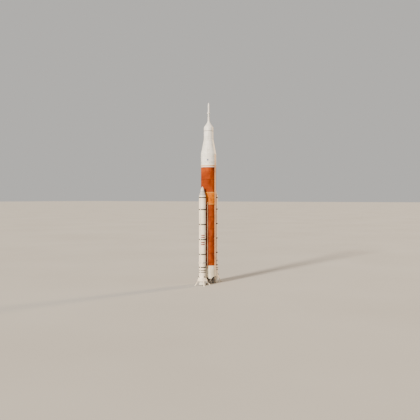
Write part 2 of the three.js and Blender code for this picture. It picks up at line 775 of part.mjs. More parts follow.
// Four splayed posts hold each booster up, joined by the ring under its skirt.
const POST_RING_H = 0.14 * M;
const POST_RING_IN = 2.32 * M;
const POST_HALF = 0.18 * M;
const POST_HEAD = [2.34 * M, 2.68 * M]; // from the booster's axis, inside and outside
const POST_FOOT = [3.72 * M, 4.22 * M];
const POST_HEAD_LOW = SKIRT_FOOT - 0.1 * M;
const POST_HEAD_TOP = SKIRT_FOOT - 0.02 * M;
const POST_FOOT_Z = 0.1 * M; // inside the pad
const PAD_IN = 3.55 * M;
const PAD_OUT = 4.45 * M;
const PAD_HALF = 0.42 * M;
const PAD_H = 0.16 * M;
function supportPosts() {
  const leg = new THREE.Shape([
    new THREE.Vector2(POST_HEAD[0], POST_HEAD_LOW),
    new THREE.Vector2(POST_FOOT[0], POST_FOOT_Z),
    new THREE.Vector2(POST_FOOT[1], POST_FOOT_Z),
    new THREE.Vector2(POST_HEAD[1], POST_HEAD_TOP),
    new THREE.Vector2(POST_HEAD[0], POST_HEAD_TOP),
  ]);
  const upright = new THREE.ExtrudeGeometry(leg, { depth: 2 * POST_HALF, bevelEnabled: false })
    .translate(0, 0, -POST_HALF)
    .rotateX(Math.PI / 2);
  const pad = block([PAD_IN, -PAD_HALF, 0], [PAD_OUT, PAD_HALF, PAD_H]);
  const ring = turned(
    [
      [POST_RING_IN, SKIRT_FOOT - POST_RING_H],
      [SKIRT_FOOT_R, SKIRT_FOOT - POST_RING_H],
      [SKIRT_FOOT_R, SKIRT_FOOT],
      [POST_RING_IN, SKIRT_FOOT],
      [POST_RING_IN, SKIRT_FOOT - POST_RING_H],
    ],
    BOOSTER_SIDES,
  );
  const legs = CORNERS.flatMap(([sx, sy]) => {
    const turn = Math.atan2(sy, sx);
    return [upright.clone().rotateZ(turn), pad.clone().rotateZ(turn)];
  });
  return joined(ring, ...legs);
}

// The attach ring and its struts reach across to the frame on the hydrogen tank. The table's
// columns are where each strut starts on the ring and ends at the frame, as x and y.
const STRUT_R = 0.09 * M;
const STRUTS = [
  [1.4 * M, -1.36 * M, 2.5 * M, -1.5 * M],
  [1.4 * M, 1.36 * M, 2.5 * M, 1.5 * M],
  [1.8 * M, 0.5 * M, 2.4 * M, -0.7 * M],
];
function aftAttach() {
  const ring = turned(
    [
      [BOOSTER_R + SEAT_GAP, ATTACH_RING - ATTACH_HALF],
      [BOOSTER_R + ATTACH_PROUD, ATTACH_RING - ATTACH_HALF],
      [BOOSTER_R + ATTACH_PROUD, ATTACH_RING + ATTACH_HALF],
      [BOOSTER_R + SEAT_GAP, ATTACH_RING + ATTACH_HALF],
      [BOOSTER_R + SEAT_GAP, ATTACH_RING - ATTACH_HALF],
    ],
    BOOSTER_SIDES,
  );
  const struts = STRUTS.map(([x0, y0, x1, y1]) =>
    bar([x0, y0, ATTACH_RING], [x1, y1, ATTACH_RING], STRUT_R, PIPE_SIDES),
  );
  const core = drum(
    CORE_R + FRAME_PROUD + SEAT_GAP,
    ATTACH_RING - M,
    CORE_R + FRAME_PROUD + SEAT_GAP,
    ATTACH_RING + M,
    CORE_SIDES,
  ).translate(BOOSTER_X, 0, 0);
  const motor = drum(
    BOOSTER_R + SEAT_GAP,
    ATTACH_RING - M,
    BOOSTER_R + SEAT_GAP,
    ATTACH_RING + M,
    BOOSTER_SIDES,
  );
  return cut(joined(ring, ...struts), core, motor);
}

// The booster's own tunnel runs up its outboard side, cut to the case, the rings and the joints.
const BOOSTER_TUNNEL_FOOT = 5.2 * M;
const BOOSTER_TUNNEL_TOP = 47.4 * M;
const BOOSTER_TUNNEL_REACH = 2.09 * M;
const BOOSTER_TUNNEL_HALF = 0.17 * M;
function boosterTunnel() {
  const strip = block(
    [-BOOSTER_TUNNEL_REACH, -BOOSTER_TUNNEL_HALF, BOOSTER_TUNNEL_FOOT],
    [-BOOSTER_R + 0.1 * M, BOOSTER_TUNNEL_HALF, BOOSTER_TUNNEL_TOP],
  );
  const skirtSide = [
    [BOOSTER_R, SEGMENT_FEET.at(-1)],
    [BOOSTER_R, NOSE_FOOT],
  ];
  const sides = [aftSide, ...segmentSides, skirtSide];
  const motor = closed(sides.flatMap((side) => grown(side, SEAT_GAP)));
  const ring = drum(
    BOOSTER_R + ATTACH_PROUD + SEAT_GAP,
    ATTACH_RING - ATTACH_HALF - SEAT_GAP,
    BOOSTER_R + ATTACH_PROUD + SEAT_GAP,
    ATTACH_RING + ATTACH_HALF + SEAT_GAP,
    BOOSTER_SIDES,
  );
  return cut(solid(strip), turned(motor, BOOSTER_SIDES), ring);
}

// The forward skirt's fitting meets the thrust pad on the intertank.
const FITTING_ROOT = 1.7 * M;
const FITTING_HALF = 0.3 * M;
const FITTING_HALF_H = 0.4 * M;
const forwardSkirt = () =>
  joined(
    drum(BOOSTER_R, SEGMENT_FEET.at(-1), BOOSTER_R, NOSE_FOOT, BOOSTER_SIDES),
    block(
      [FITTING_ROOT, -FITTING_HALF, THRUST_PAD_Z - FITTING_HALF_H],
      [BOOSTER_X - THRUST_PAD_X - SEAT_GAP, FITTING_HALF, THRUST_PAD_Z + FITTING_HALF_H],
    ),
  );

// The nose: a straight cone, then a rounded cap
const noseSide = [
  [BOOSTER_R, NOSE_FOOT],
  [1.0 * M, 51.7 * M],
  [0.78 * M, 52.6 * M],
  [0.5 * M, 53.3 * M],
  [0.22 * M, 53.75 * M],
];
const noseCone = () => turned([[0, NOSE_FOOT], ...noseSide, [0, NOSE_TIP]], BOOSTER_SIDES);

// The booster's nozzle, as [radius, height from the ball's centre], inside and outside
const thrustInside = [
  [0.62 * M, -0.75 * M],
  [1.22 * M, -2.0 * M],
  [1.82 * M, THRUST_LENGTH],
];
const thrustOutside = [
  [1.9 * M, THRUST_LENGTH],
  [1.32 * M, -2.0 * M],
  [0.76 * M, -0.7 * M],
  [0.72 * M, -BEARING_FACE],
];
const boosterNozzle = () =>
  turned(
    [
      [0, thrustInside[0][1]],
      ...thrustInside,
      ...thrustOutside,
      ...seat(BEARING_R, BEARING_FACE, -1),
    ],
    BELL_SIDES,
  );

for (const [side, word] of SIDES) {
  const booster = new THREE.Group();
  booster.position.x = side * BOOSTER_X;
  booster.rotation.z = side > 0 ? Math.PI : 0;
  rocket.add(booster);
  const name = (part) => `booster_${word}_${part}`;
  piece(booster, name("support_posts"), geometryOf(supportPosts()), WHITE_PAINT);
  piece(booster, name("aft_skirt"), aftSkirt(), WHITE_PAINT);
  piece(booster, name("aft_segment"), aftSegment(), WHITE_PAINT);
  SEGMENTS.forEach((part, i) =>
    piece(booster, name(part), turned(closed(segmentSides[i]), BOOSTER_SIDES), WHITE_PAINT),
  );
  piece(booster, name("forward_skirt"), geometryOf(forwardSkirt()), WHITE_PAINT);
  piece(booster, name("nose_cone"), noseCone(), WHITE_PAINT);
  piece(booster, name("aft_attach"), geometryOf(aftAttach()), WHITE_PAINT);
  piece(booster, name("tunnel"), geometryOf(boosterTunnel()), WHITE_PAINT);
  const thrust = new THREE.Group();
  thrust.position.z = BEARING_Z;
  booster.add(thrust);
  piece(thrust, name("nozzle_bearing"), ball(BEARING_R, 6), DARK_METAL);
  piece(thrust, name("nozzle"), boosterNozzle(), BLANKET);
}

export default rocket;
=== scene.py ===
import json
import math

import bmesh
import bpy
from mathutils import Matrix, Vector


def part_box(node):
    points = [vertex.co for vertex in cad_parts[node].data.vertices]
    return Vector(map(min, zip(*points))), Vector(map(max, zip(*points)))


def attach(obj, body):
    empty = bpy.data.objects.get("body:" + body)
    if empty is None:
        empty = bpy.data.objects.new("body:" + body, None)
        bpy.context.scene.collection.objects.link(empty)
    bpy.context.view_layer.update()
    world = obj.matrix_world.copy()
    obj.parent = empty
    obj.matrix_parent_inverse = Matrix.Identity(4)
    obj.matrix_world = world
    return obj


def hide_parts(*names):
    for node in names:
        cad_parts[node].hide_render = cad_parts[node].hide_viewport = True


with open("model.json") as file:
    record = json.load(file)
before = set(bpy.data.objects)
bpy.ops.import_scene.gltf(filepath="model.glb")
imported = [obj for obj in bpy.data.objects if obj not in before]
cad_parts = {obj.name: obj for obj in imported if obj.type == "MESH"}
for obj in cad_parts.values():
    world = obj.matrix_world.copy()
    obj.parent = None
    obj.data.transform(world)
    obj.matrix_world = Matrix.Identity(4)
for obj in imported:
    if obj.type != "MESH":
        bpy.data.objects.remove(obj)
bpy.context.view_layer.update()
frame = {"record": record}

# The model is one tenth of the real rocket. Shapes are made in the real one's metres, and
# model_mesh() brings them to the model's scale.
SCALE = 0.1
MM = 0.001 * SCALE  # one real millimetre on the model

# Places and sizes in real metres, from the frame


def low(node_name):
    """A solid's lowest corner."""
    return Vector(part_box(node_name)[0]) / SCALE


def high(node_name):
    """A solid's highest corner."""
    return Vector(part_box(node_name)[1]) / SCALE


def span(node_name):
    """The heights of a solid's foot and top."""
    return low(node_name).z, high(node_name).z


def middle_z(node_name):
    """The height halfway up a solid."""
    return sum(span(node_name)) / 2


CORE_R = high("oxygen_tank").x
CAPSULE_R = high("abort_fairing").x
BOOSTER_X = (low("booster_right_nose_cone").x + high("booster_right_nose_cone").x) / 2
BOOSTER_R = high("booster_right_nose_cone").y
TUNNEL_FACE = -low("systems_tunnel").y
TIP = high("attitude_motor").z

JOINTS = {
    joint["name"]: Vector(joint["pos_m"]) / SCALE for joint in frame["record"]["behaviour"]["joints"]
}
ENGINES = {
    word: JOINTS[f"engine_{word}_pitch"] for word in ("front_left", "front_right", "back_left", "back_right")
}
SIDES = {"left": -1, "right": 1}

# How many steps the round pieces are turned in
CORE_STEPS = 128
BOOSTER_STEPS = 96
TOWER_STEPS = 48
SMALL_STEPS = 32
ROD_STEPS = 24
BOLT_STEPS = 8

# Materials


def hex_colour(code):
    """An sRGB hex colour as linear red, green, blue and alpha."""
    channels = [int(code[i : i + 2], 16) / 255 for i in (1, 3, 5)]
    linear = [c / 12.92 if c <= 0.04045 else ((c + 0.055) / 1.055) ** 2.4 for c in channels]
    return (*linear, 1)


def feed(tree, target, inputs):
    """Sets or links a node's inputs, by name or number."""
    for name, value in inputs.items():
        if isinstance(value, bpy.types.NodeSocket):
            tree.links.new(value, target.inputs[name])
        else:
            target.inputs[name].default_value = value


def node(tree, kind, output, inputs, stops=(), **settings):
    """Adds a node with its settings, inputs and colour stops, and gives one of its outputs."""
    made = tree.nodes.new(f"ShaderNode{kind}")
    for name, value in settings.items():
        setattr(made, name, value)
    feed(tree, made, inputs)
    if stops:
        elements = made.color_ramp.elements
        for position, code in stops:
            elements.new(position).color = hex_colour(code)
        elements.remove(elements[0])
        elements.remove(elements[-1])
    return made.outputs[output]


def new_material(name):
    """A material with its node tree and its Object coordinates."""
    material = bpy.data.materials.new(name)
    material.use_nodes = True
    tree = material.node_tree
    return material, tree, node(tree, "TexCoord", "Object", {})


def shaded(material, inputs):
    """Gives a material's shader its inputs."""
    tree = material.node_tree
    feed(tree, tree.nodes["Principled BSDF"], inputs)
    return material


def per(*sizes):
    """A texture's scale for features of the given real sizes in millimetres: one, or along X, Y and Z."""
    scales = [1 / (size * MM) for size in sizes]
    return scales if len(scales) > 1 else scales[0]


def foam(name, dark, middle, light):
    """Polyurethane foam, sprayed on: matt and knobbly, in faint level bands left by the spray gun's
    passes, with broad patches that the sun has tanned.

    A pass is 200 mm high. The knobs are really 20 to 40 mm across and drawn at 140 mm, so that they
    show.
    """
    material, tree, place = new_material(name)
    broad = node(tree, "Mapping", "Vector", {"Vector": place, "Scale": per(3200, 3200, 5440)})
    tan = node(tree, "TexNoise", "Fac", {"Vector": broad, "Scale": 1, "Detail": 4})
    level = node(tree, "Mapping", "Vector", {"Vector": place, "Scale": per(2800, 2800, 200)})
    passes = node(tree, "TexNoise", "Fac", {"Vector": level, "Scale": 1, "Detail": 3})
    knobs = node(tree, "TexNoise", "Fac", {"Vector": place, "Scale": per(140), "Detail": 3})
    colour = node(tree, "ValToRGB", "Color", {"Fac": tan}, [(0.3, dark), (0.5, middle), (0.72, light)])
    bands = node(tree, "ValToRGB", "Color", {"Fac": passes}, [(0.32, "#c9bfb8"), (0.62, "#ffffff")])
    speckle = node(tree, "ValToRGB", "Color", {"Fac": knobs}, [(0.35, "#cfcac6"), (0.6, "#ffffff")])
    banded = node(tree, "Mix", 2, {0: 0.55, 6: colour, 7: bands}, data_type="RGBA", blend_type="MULTIPLY")
    spotted = node(tree, "Mix", 2, {0: 0.45, 6: banded, 7: speckle}, data_type="RGBA", blend_type="MULTIPLY")
    relief = node(tree, "Math", 0, {0: knobs, 1: passes}, operation="ADD")
    bumps = node(tree, "Bump", "Normal", {"Height": relief, "Distance": 22 * MM, "Strength": 0.6})
    return shaded(material, {"Base Color": spotted, "Normal": bumps, "Roughness": 0.95,
                             "Specular IOR Level": 0.1})


def paint(name, clean, stained, roughness=0.5):
    """Two-part matt paint, sprayed over metal or cork: nearly even, with faint stains that run down
    it for metres and a gloss that varies in clouds.

    The spray's own grain is under 5 mm and drawn at 120 mm, so that it shows.
    """
    material, tree, place = new_material(name)
    down = node(tree, "Mapping", "Vector", {"Vector": place, "Scale": per(300, 300, 3600)})
    runs = node(tree, "TexNoise", "Fac", {"Vector": down, "Scale": 1, "Detail": 5})
    clouds = node(tree, "TexNoise", "Fac", {"Vector": place, "Scale": per(3500), "Detail": 3})
    grain = node(tree, "TexNoise", "Fac", {"Vector": place, "Scale": per(120), "Detail": 3})
    both = node(tree, "Math", 0, {0: runs, 1: clouds}, operation="MULTIPLY")
    colour = node(tree, "ValToRGB", "Color", {"Fac": both}, [(0.16, clean), (0.46, stained)])
    gloss = node(tree, "MapRange", "Result",
                 {"Value": clouds, "To Min": roughness - 0.08, "To Max": roughness + 0.12})
    bumps = node(tree, "Bump", "Normal", {"Height": grain, "Distance": 4 * MM, "Strength": 0.3})
    return shaded(material, {"Base Color": colour, "Normal": bumps, "Roughness": gloss,
                             "Specular IOR Level": 0.4})


def mottled(name, stops, patches, height, strength, grain=None, detail=4, **inputs):
    """A surface whose colour drifts in patches, over a relief of grain, or of the patches themselves.

    Patches have widths along X, Y and Z, and grain has one, in real millimetres, as its height is.
    """
    material, tree, place = new_material(name)
    patch = node(tree, "Mapping", "Vector", {"Vector": place, "Scale": per(*patches)})
    drift = node(tree, "TexNoise", "Fac", {"Vector": patch, "Scale": 1, "Detail": detail})
    relief = drift
    if grain:
        relief = node(tree, "TexNoise", "Fac", {"Vector": place, "Scale": per(grain), "Detail": 2})
    colour = node(tree, "ValToRGB", "Color", {"Fac": drift}, stops)
    bumps = node(tree, "Bump", "Normal", {"Height": relief, "Distance": height * MM, "Strength": strength})
    return shaded(material, {"Base Color": colour, "Normal": bumps, **inputs})


def bare_alloy(name, dark, light, roughness):
    """Bare alloy, cast or drawn, and stained by heat: brownish, in drifting patches.

    The casting's grain is about 3 mm and drawn at 30 mm, so that it shows.
    """
    stops = [(0.3, dark), (0.7, light)]
    return mottled(name, stops, (600, 600, 1500), height=3, strength=0.3, grain=30, Roughness=roughness,
                   Metallic=1)


def glazed_tile(name, dark, light):
    """Glazed silica tiles, 200 mm wide, with a faint line round each."""
    material, tree, place = new_material(name)
    mottle = node(tree, "TexNoise", "Fac", {"Vector": place, "Scale": per(500), "Detail": 3})
    colour = node(tree, "ValToRGB", "Color", {"Fac": mottle}, [(0.3, dark), (0.7, light)])
    lines = node(tree, "TexBrick", "Color", {
        "Vector": place,
        "Scale": per(400),  # a tile is half of this wide
        "Mortar Size": 0.015,
        "Color1": (1, 1, 1, 1),
        "Color2": (0.9, 0.9, 0.9, 1),
        "Mortar": (0.25, 0.25, 0.25, 1),
    })
    lined = node(tree, "Mix", 2, {0: 0.8, 6: colour, 7: lines}, data_type="RGBA", blend_type="MULTIPLY")
    return shaded(material, {"Base Color": lined, "Roughness": 0.42})


# The tanks' foam, sprayed by a robot and tanned from yellow to rust by months of sun
ORANGE = foam("sprayed_foam_orange", "#742b0d", "#903b10", "#ac4e1a")
# The intertank's foam, sprayed over its ribs: lighter and more golden than the tanks' foam, partly its own
# hue and partly painted sunlight
RIB_FOAM_WITH_PAINTED_SUN = foam("ribbed_panel_foam_painted_sunlight", "#b0570a", "#cc6f0b", "#e08617")
# Foam trimmed by hand over the intertank's flanges: fresh and pale
FLANGE_FOAM = foam("flange_closeout_foam", "#cc8630", "#e09a42", "#efb05c")
# Foam sprayed by hand over the welds: darker than the rest
HAND_FOAM = foam("hand_sprayed_foam", "#66270d", "#7d3410", "#95471b")
# Pale foam under a thin white coat, on tunnels and pipes: a pinkish cream
PALE_FOAM = foam("sprayed_foam_pale", "#c99b72", "#d8b08a", "#e4c3a0")
# White paint sprayed on aluminium and composite: clean and nearly neutral
WHITE = paint("matt_white_paint", "#eceae5", "#cdc8be")
# Painted strips of sealant over the joints: a shade greyer than the skin
SEAM = paint("joint_strip_paint", "#c6c3bc", "#aeaaa1")
# White paint sprayed on cork round the engines: creamy and duller
CREAM = paint("cream_cork_paint", "#e8dfca", "#c4b89c", 0.65)
# White paint sprayed on the boosters' steel cases, tinted cream: the tint is painted warm sunlight
BOOSTER_WHITE = paint("white_paint_with_painted_warm_light", "#f4e8d5", "#d8c9b1")
# The nose cones' white paint, a shade greyer than the cases'
NOSE_WHITE = paint("greyer_white_paint", "#d6d0c7", "#b7b0a6")
# Light grey primer, sprayed on fittings, plates and bolts
GREY = paint("light_grey_paint", "#b4b3b0", "#93918c")
# Darker grey paint on narrow bands: round the tower's motor it is paint; on the boosters' nose cones it is
# painted shade beside their raised rings
BAND_GREY_AND_SHADE = paint("band_grey_paint_and_painted_shade", "#8f8c87", "#75726d")
# Dark red marking paint, sprayed through a mask
MARK = paint("dark_red_marking_paint", "#7c1f1d", "#5a1615")
# Dull blue marking paint, sprayed through a mask
BLUE = paint("dull_blue_marking_paint", "#5f6f8c", "#526079")
# Cast steel: dark brownish grey, half dull
DARK_ALLOY = bare_alloy("dark_steel_casting", "#3d3a38", "#5c5753", 0.5)
# Nickel alloy tubes, brazed in a furnace: bronze grey and fairly bright
BELL_ALLOY = bare_alloy("heat_stained_nickel_alloy", "#6f675f", "#a39a8f", 0.36)
# Moulded weather-seal rubber: dull black with a little grey chalk. It also paints the boosters' stiffening
# rings black, as painted shade under them. Its skin is finer than 1 mm and drawn at 80 mm, so that it shows.
BLACK_SEAL_AND_SHADE = mottled("black_seal_rubber_and_painted_shade", [(0.3, "#090808"), (0.75, "#1a1816")], (500, 500, 200), height=4,
                     strength=0.4, grain=80, Roughness=0.7)
# Quilted glass-fibre cloth: off-white and dull, in creases about 300 mm apart
BLANKET = mottled("heat_blanket_cloth", [(0.3, "#b9b3a6"), (0.65, "#dcd7cb")], (300, 300, 300), height=50,
                  strength=0.7, detail=5, Roughness=0.85)
# Carbon cloth wrapped in resin and charred by firing: near black, in streaks 300 mm wide
SOOT = mottled("charred_nozzle_lining", [(0.3, "#141312"), (0.7, "#37332f")], (300, 300, 1800), height=12,
               strength=0.5, Roughness=0.8)
# Silica tiles round the crew module, glazed in a kiln: black with a soft sheen
TILES = glazed_tile("black_tile_glaze", "#26282b", "#34373b")

# Modelling helpers

TOUCH = 1e-4  # points nearer each other than this are one


def evenly(first, last, steps):
    """Evenly spaced values from the first to the last."""
    return [first + (last - first) * i / steps for i in range(steps + 1)]


def turned(points, steps=CORE_STEPS, ring=False):
    """A shape spun about Z from (radius, height) points; with ring, they close on themselves."""
    bm = bmesh.new()
    verts = [bm.verts.new((r, 0, z)) for r, z in points]
    ends = verts[1:] + verts[:1] if ring else verts[1:]
    edges = [bm.edges.new(pair) for pair in zip(verts, ends)]
    bmesh.ops.spin(bm, geom=verts + edges, cent=(0, 0, 0), axis=(0, 0, 1), angle=2 * math.pi, steps=steps,
                   use_merge=True)
    bmesh.ops.remove_doubles(bm, verts=bm.verts, dist=TOUCH)
    bmesh.ops.recalc_face_normals(bm, faces=bm.faces)
    return bm


def square_ring(inner, outer, foot, top, steps):
    """A ring with a square section."""
    return turned([(inner, foot), (outer, foot), (outer, top), (inner, top)], steps, ring=True)


def swept(corners, middle, half_angle, steps):
    """A closed outline of (radius, height) points, spun to both sides of an angle off +X."""
    bm = bmesh.new()
    verts = [bm.verts.new((r, 0, z)) for r, z in corners]
    face = bm.faces.new(verts)
    bmesh.ops.rotate(bm, verts=verts, cent=(0, 0, 0), matrix=Matrix.Rotation(middle - half_angle, 3, "Z"))
    bmesh.ops.spin(bm, geom=[face], cent=(0, 0, 0), axis=(0, 0, 1), angle=2 * half_angle, steps=steps)
    bmesh.ops.recalc_face_normals(bm, faces=bm.faces)
    return bm


def curved_plate(root, face, foot, top, middle, half_angle, steps=12):
    """A plate that follows a round body, from one radius out to another."""
    return swept([(root, foot), (face, foot), (face, top), (root, top)], middle, half_angle, steps)


def block(low_corner, high_corner):
    """A box between two corners."""
    size = [b - a for a, b in zip(low_corner, high_corner)]
    middle = [(b + a) / 2 for a, b in zip(low_corner, high_corner)]
    bm = bmesh.new()
    bmesh.ops.create_cube(bm, size=1, matrix=Matrix.Translation(middle) @ Matrix.Diagonal((*size, 1)))
    return bm


def rod(start, end, radius, steps=ROD_STEPS, end_radius=None):
    """A round bar or cone between two points."""
    start, end = Vector(start), Vector(end)
    along = end - start
    turn = Vector((0, 0, 1)).rotation_difference(along).to_matrix().to_4x4()
    bm = bmesh.new()
    bmesh.ops.create_cone(bm, cap_ends=True, segments=steps, radius1=radius,
                          radius2=radius if end_radius is None else end_radius, depth=along.length,
                          matrix=Matrix.Translation((start + end) / 2) @ turn)
    return bm


def moved(bm, matrix):
    bmesh.ops.transform(bm, matrix=matrix, verts=bm.verts)
    return bm


def facing(shape, azimuth):
    """Turns a shape made on the front, at -Y, to another azimuth: 0 is the front, 90 is +X."""
    return moved(shape, Matrix.Rotation(math.radians(azimuth), 4, "Z"))


def rounded(bm, edges, width, segments):
    bmesh.ops.bevel(bm, geom=edges, offset=width, offset_type="OFFSET", affect="EDGES", segments=segments,
                    profile=0.5, material=-1, clamp_overlap=True)
    return bm


def softened(bm, width, segments=2, angle=30):
    """Rounds the edges that are sharper than an angle."""
    sharp = math.radians(angle)
    edges = [e for e in bm.edges if len(e.link_faces) == 2 and e.calc_face_angle() > sharp]
    return rounded(bm, edges, width, segments)


def strip(low_corner, high_corner, edge):
    """A box with softened edges."""
    return softened(block(low_corner, high_corner), edge)


def front_strip(half, root, face, foot, top, edge):
    """A box with softened edges on a round body's front, from one radius out to another."""
    return strip((-half, -face, foot), (half, -root, top), edge)


def joined(shapes):
    """Several shapes in one mesh, each as it stands."""
    whole = shapes[0]
    for shape in shapes[1:]:
        part = bpy.data.meshes.new("part")
        shape.to_mesh(part)
        whole.from_mesh(part)
        bpy.data.meshes.remove(part)
        shape.free()
    return whole


def around(shape, count, start=0):
    """Copies of a shape, evenly turned about Z from a start in degrees."""
    copies = [facing(shape.copy(), start + 360 * i / count) for i in range(count)]
    shape.free()
    return joined(copies)


def pushed(bm, faces, along):
    """Draws faces out into a solid."""
    grown = bmesh.ops.extrude_face_region(bm, geom=faces)["geom"]
    bmesh.ops.translate(bm, verts=[v for v in grown if isinstance(v, bmesh.types.BMVert)], vec=along)
    bmesh.ops.recalc_face_normals(bm, faces=bm.faces)
    return bm


def framed(bm, faces, width, lip, sink):
    """Sinks the middle of each face inside a flat frame."""
    bmesh.ops.inset_individual(bm, faces=faces, thickness=width, depth=0)
    bmesh.ops.inset_individual(bm, faces=faces, thickness=lip, depth=-sink)
    return bm


def leaned(shape, cone_foot, cone_top, share, azimuth):
    """Sets a shape made at the origin, for the front, on a cone's side at a share of the way up it."""
    (foot_r, foot), (top_r, top) = cone_foot, cone_top
    place = Matrix.Translation((0, -foot_r - (top_r - foot_r) * share, foot + (top - foot) * share))
    tilt = Matrix.Rotation(-math.atan2(foot_r - top_r, top - foot), 4, "X")
    return facing(moved(shape, place @ tilt), azimuth)


def coloured(bm, test):
    """Gives the faces whose middle and outward direction pass a test the piece's second material."""
    bm.normal_update()
    for face in bm.faces:
        if test(face.calc_center_median(), face.normal):
            face.material_index = 1
    return bm


def banded(bm, heights, half):
    """Gives the bands round a body's side at some heights its second material."""
    return coloured(bm, lambda c, n: n.xy.length > 0.5 and any(abs(c.z - z) < half for z in heights))


def model_mesh(name, bm):
    """A mesh at the model's scale from a shape in real metres."""
    bmesh.ops.scale(bm, vec=(SCALE, SCALE, SCALE), verts=bm.verts)
    mesh = bpy.data.meshes.new(name)
    bm.to_mesh(mesh)
    bm.free()
    return mesh


def piece(name, shapes, slot, *materials, body="rocket", replaces=None, smooth=32):
    """Finishes shapes as one object that rides on a body, in place of a solid where one is named."""
    mesh = model_mesh(name, joined(shapes))
    for material in materials:
        mesh.materials.append(material)
    mesh.shade_smooth()
    mesh.set_sharp_from_angle(angle=math.radians(smooth))
    made = bpy.data.objects.new(name, mesh)
    bpy.context.scene.collection.objects.link(made)
    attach(made, body)
    if replaces:
        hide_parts(replaces)
    return made


def carve(made, cutter):
    """Cuts a shape out of a finished piece."""
    mesh = model_mesh("cutter", cutter)
    tool = bpy.data.objects.new("cutter", mesh)
    bpy.context.scene.collection.objects.link(tool)
    modifier = made.modifiers.new("carve", "BOOLEAN")
    modifier.object = tool
    modifier.solver = "EXACT"
    result = bpy.data.meshes.new_from_object(made.evaluated_get(bpy.context.evaluated_depsgraph_get()))
    made.modifiers.clear()
    old = made.data
    made.data = result
    bpy.data.meshes.remove(old)
    bpy.data.objects.remove(tool)
    bpy.data.meshes.remove(mesh)
    result.name = made.name


def painted(name, material):
    """Gives a piece that keeps its CAD shape its material."""
    materials = bpy.data.objects[name].data.materials
    materials.clear()
    materials.append(material)


# Outlines, as (radius, height) points, and shapes that recur


def over(foot, points):
    """Points whose heights are given over a foot."""
    return [(r, foot + z) for r, z in points]


def raised(radius, foot, top, proud, edge, end_radius=None):
    """A raised ring with sloping edges on a drum's side."""
    return [(radius, foot), (radius + proud, foot + edge), (radius + proud, top - edge),
            (end_radius or radius, top)]


RING_HALF = 0.04
RING_PROUD = 0.015


def ring_joint(radius, z, end_radius=None):
    """The narrow ring over a joint."""
    return raised(radius, z - RING_HALF, z + RING_HALF, RING_PROUD, 0.3 * RING_HALF, end_radius)


def arc(centre, radius, start, end, count):
    """Points of an arc, with angles in degrees from the radius axis."""
    angles = [math.radians(angle) for angle in evenly(start, end, count - 1)]
    return [(centre[0] + radius * math.cos(a), centre[1] + radius * math.sin(a)) for a in angles]


def hoop(radius, z, half, proud, steps=CORE_STEPS):
    """A flat band round a body, a little proud of it, with softened edges."""
    root, face = radius - 0.04, radius + proud
    edge = 0.4 * min(half, proud)
    points = [(root, z - half), (face - edge, z - half), (face, z - half + edge), (face, z + half - edge),
              (face - edge, z + half), (root, z + half)]
    return turned(points, steps, ring=True)


BOLT_HALF = 0.02
BOLT_COUNT = 72


def bolt_ring(face, z, proud=0.012, edge=0.004):
    """Square bolt heads round a flange's face."""
    head = front_strip(BOLT_HALF, face - 0.01, face + proud, z - BOLT_HALF, z + BOLT_HALF, edge)
    return around(head, BOLT_COUNT)


def door(radius, azimuth, z, half, half_h, proud=0.025):
    """An access door: a framed plate a little proud of a round body, with a screw near each corner."""
    face = radius + proud
    plate = front_strip(half, radius - 0.12, face, z - half_h, z + half_h, 0.015)
    framed(plate, [min(plate.faces, key=lambda f: f.calc_center_median().y)], 0.12 * half, 0.003, 0.012)
    screws = [
        rod((x, -face - 0.006, z + h), (x, -face + 0.02, z + h), 0.016, BOLT_STEPS)
        for x in (-0.93 * half, 0.93 * half)
        for h in (-0.93 * half_h, 0.93 * half_h)
    ]
    return facing(joined([plate, *screws]), azimuth)


def doors(radius, foot, rows, half, half_h, proud=0.025):
    """Doors of one size, from rows of azimuth and height over a foot."""
    return [door(radius, azimuth, foot + z, half, half_h, proud) for azimuth, z in rows]


def leaned_doors(cone, rows, half, half_h, proud):
    """Doors of one size on a cone's side, from rows of azimuth and share of the way up it."""
    return [leaned(door(0, 0, 0, half, half_h, proud), *cone, share, azimuth) for azimuth, share in rows]


STRAP_HALF = 0.06
STRAP_PROUD = 0.012


def tray(half, root, face, foot, top, chamfer, straps):
    """A cable tunnel up the front: a capped tray in lengths, with a strap over each joint."""
    bm = block((-half, STRAP_PROUD - face, foot + STRAP_PROUD), (half, -root, top - STRAP_PROUD))
    outer = [e for e in bm.edges if all(v.co.y < -(root + face) / 2 for v in e.verts)]
    upright = [e for e in outer if abs(e.verts[0].co.z - e.verts[1].co.z) > chamfer]
    shapes = [rounded(bm, upright, chamfer, 4)]
    for z in evenly(foot + STRAP_HALF, top - STRAP_HALF, straps):
        shapes.append(front_strip(half + STRAP_PROUD, root, face, z - STRAP_HALF, z + STRAP_HALF, 0.015))
    return joined(shapes)


# Core stage

FLANGE_PROUD = high("interstage").x - CORE_R
THRUST_Z = middle_z("booster_left_forward_skirt") + 0.4
ATTACH_Z = middle_z("booster_left_aft_attach")

# How many barrels each tank is welded from
TANKS = {"hydrogen_tank": 5, "oxygen_tank": 2}
WELD_HALF = 0.25
WELD_PROUD = 0.014
LUG_COUNT = 36


def tank(node_name, barrels):
    """A smooth foam-covered tank with a faint raised band of hand-sprayed foam at each weld."""
    foot, top = span(node_name)
    welds = evenly(foot, top, barrels)
    side = []
    for z in welds:
        side += raised(CORE_R, z - WELD_HALF, z + WELD_HALF, WELD_PROUD, 2 / 3 * WELD_HALF)
    side[:2] = [(0, foot), (CORE_R + WELD_PROUD, foot)]
    side[-2:] = [(CORE_R + WELD_PROUD, top), (0, top)]
    return coloured(
        turned(side), lambda c, _: c.xy.length > CORE_R / 2 and min(abs(c.z - z) for z in welds) < WELD_HALF
    )


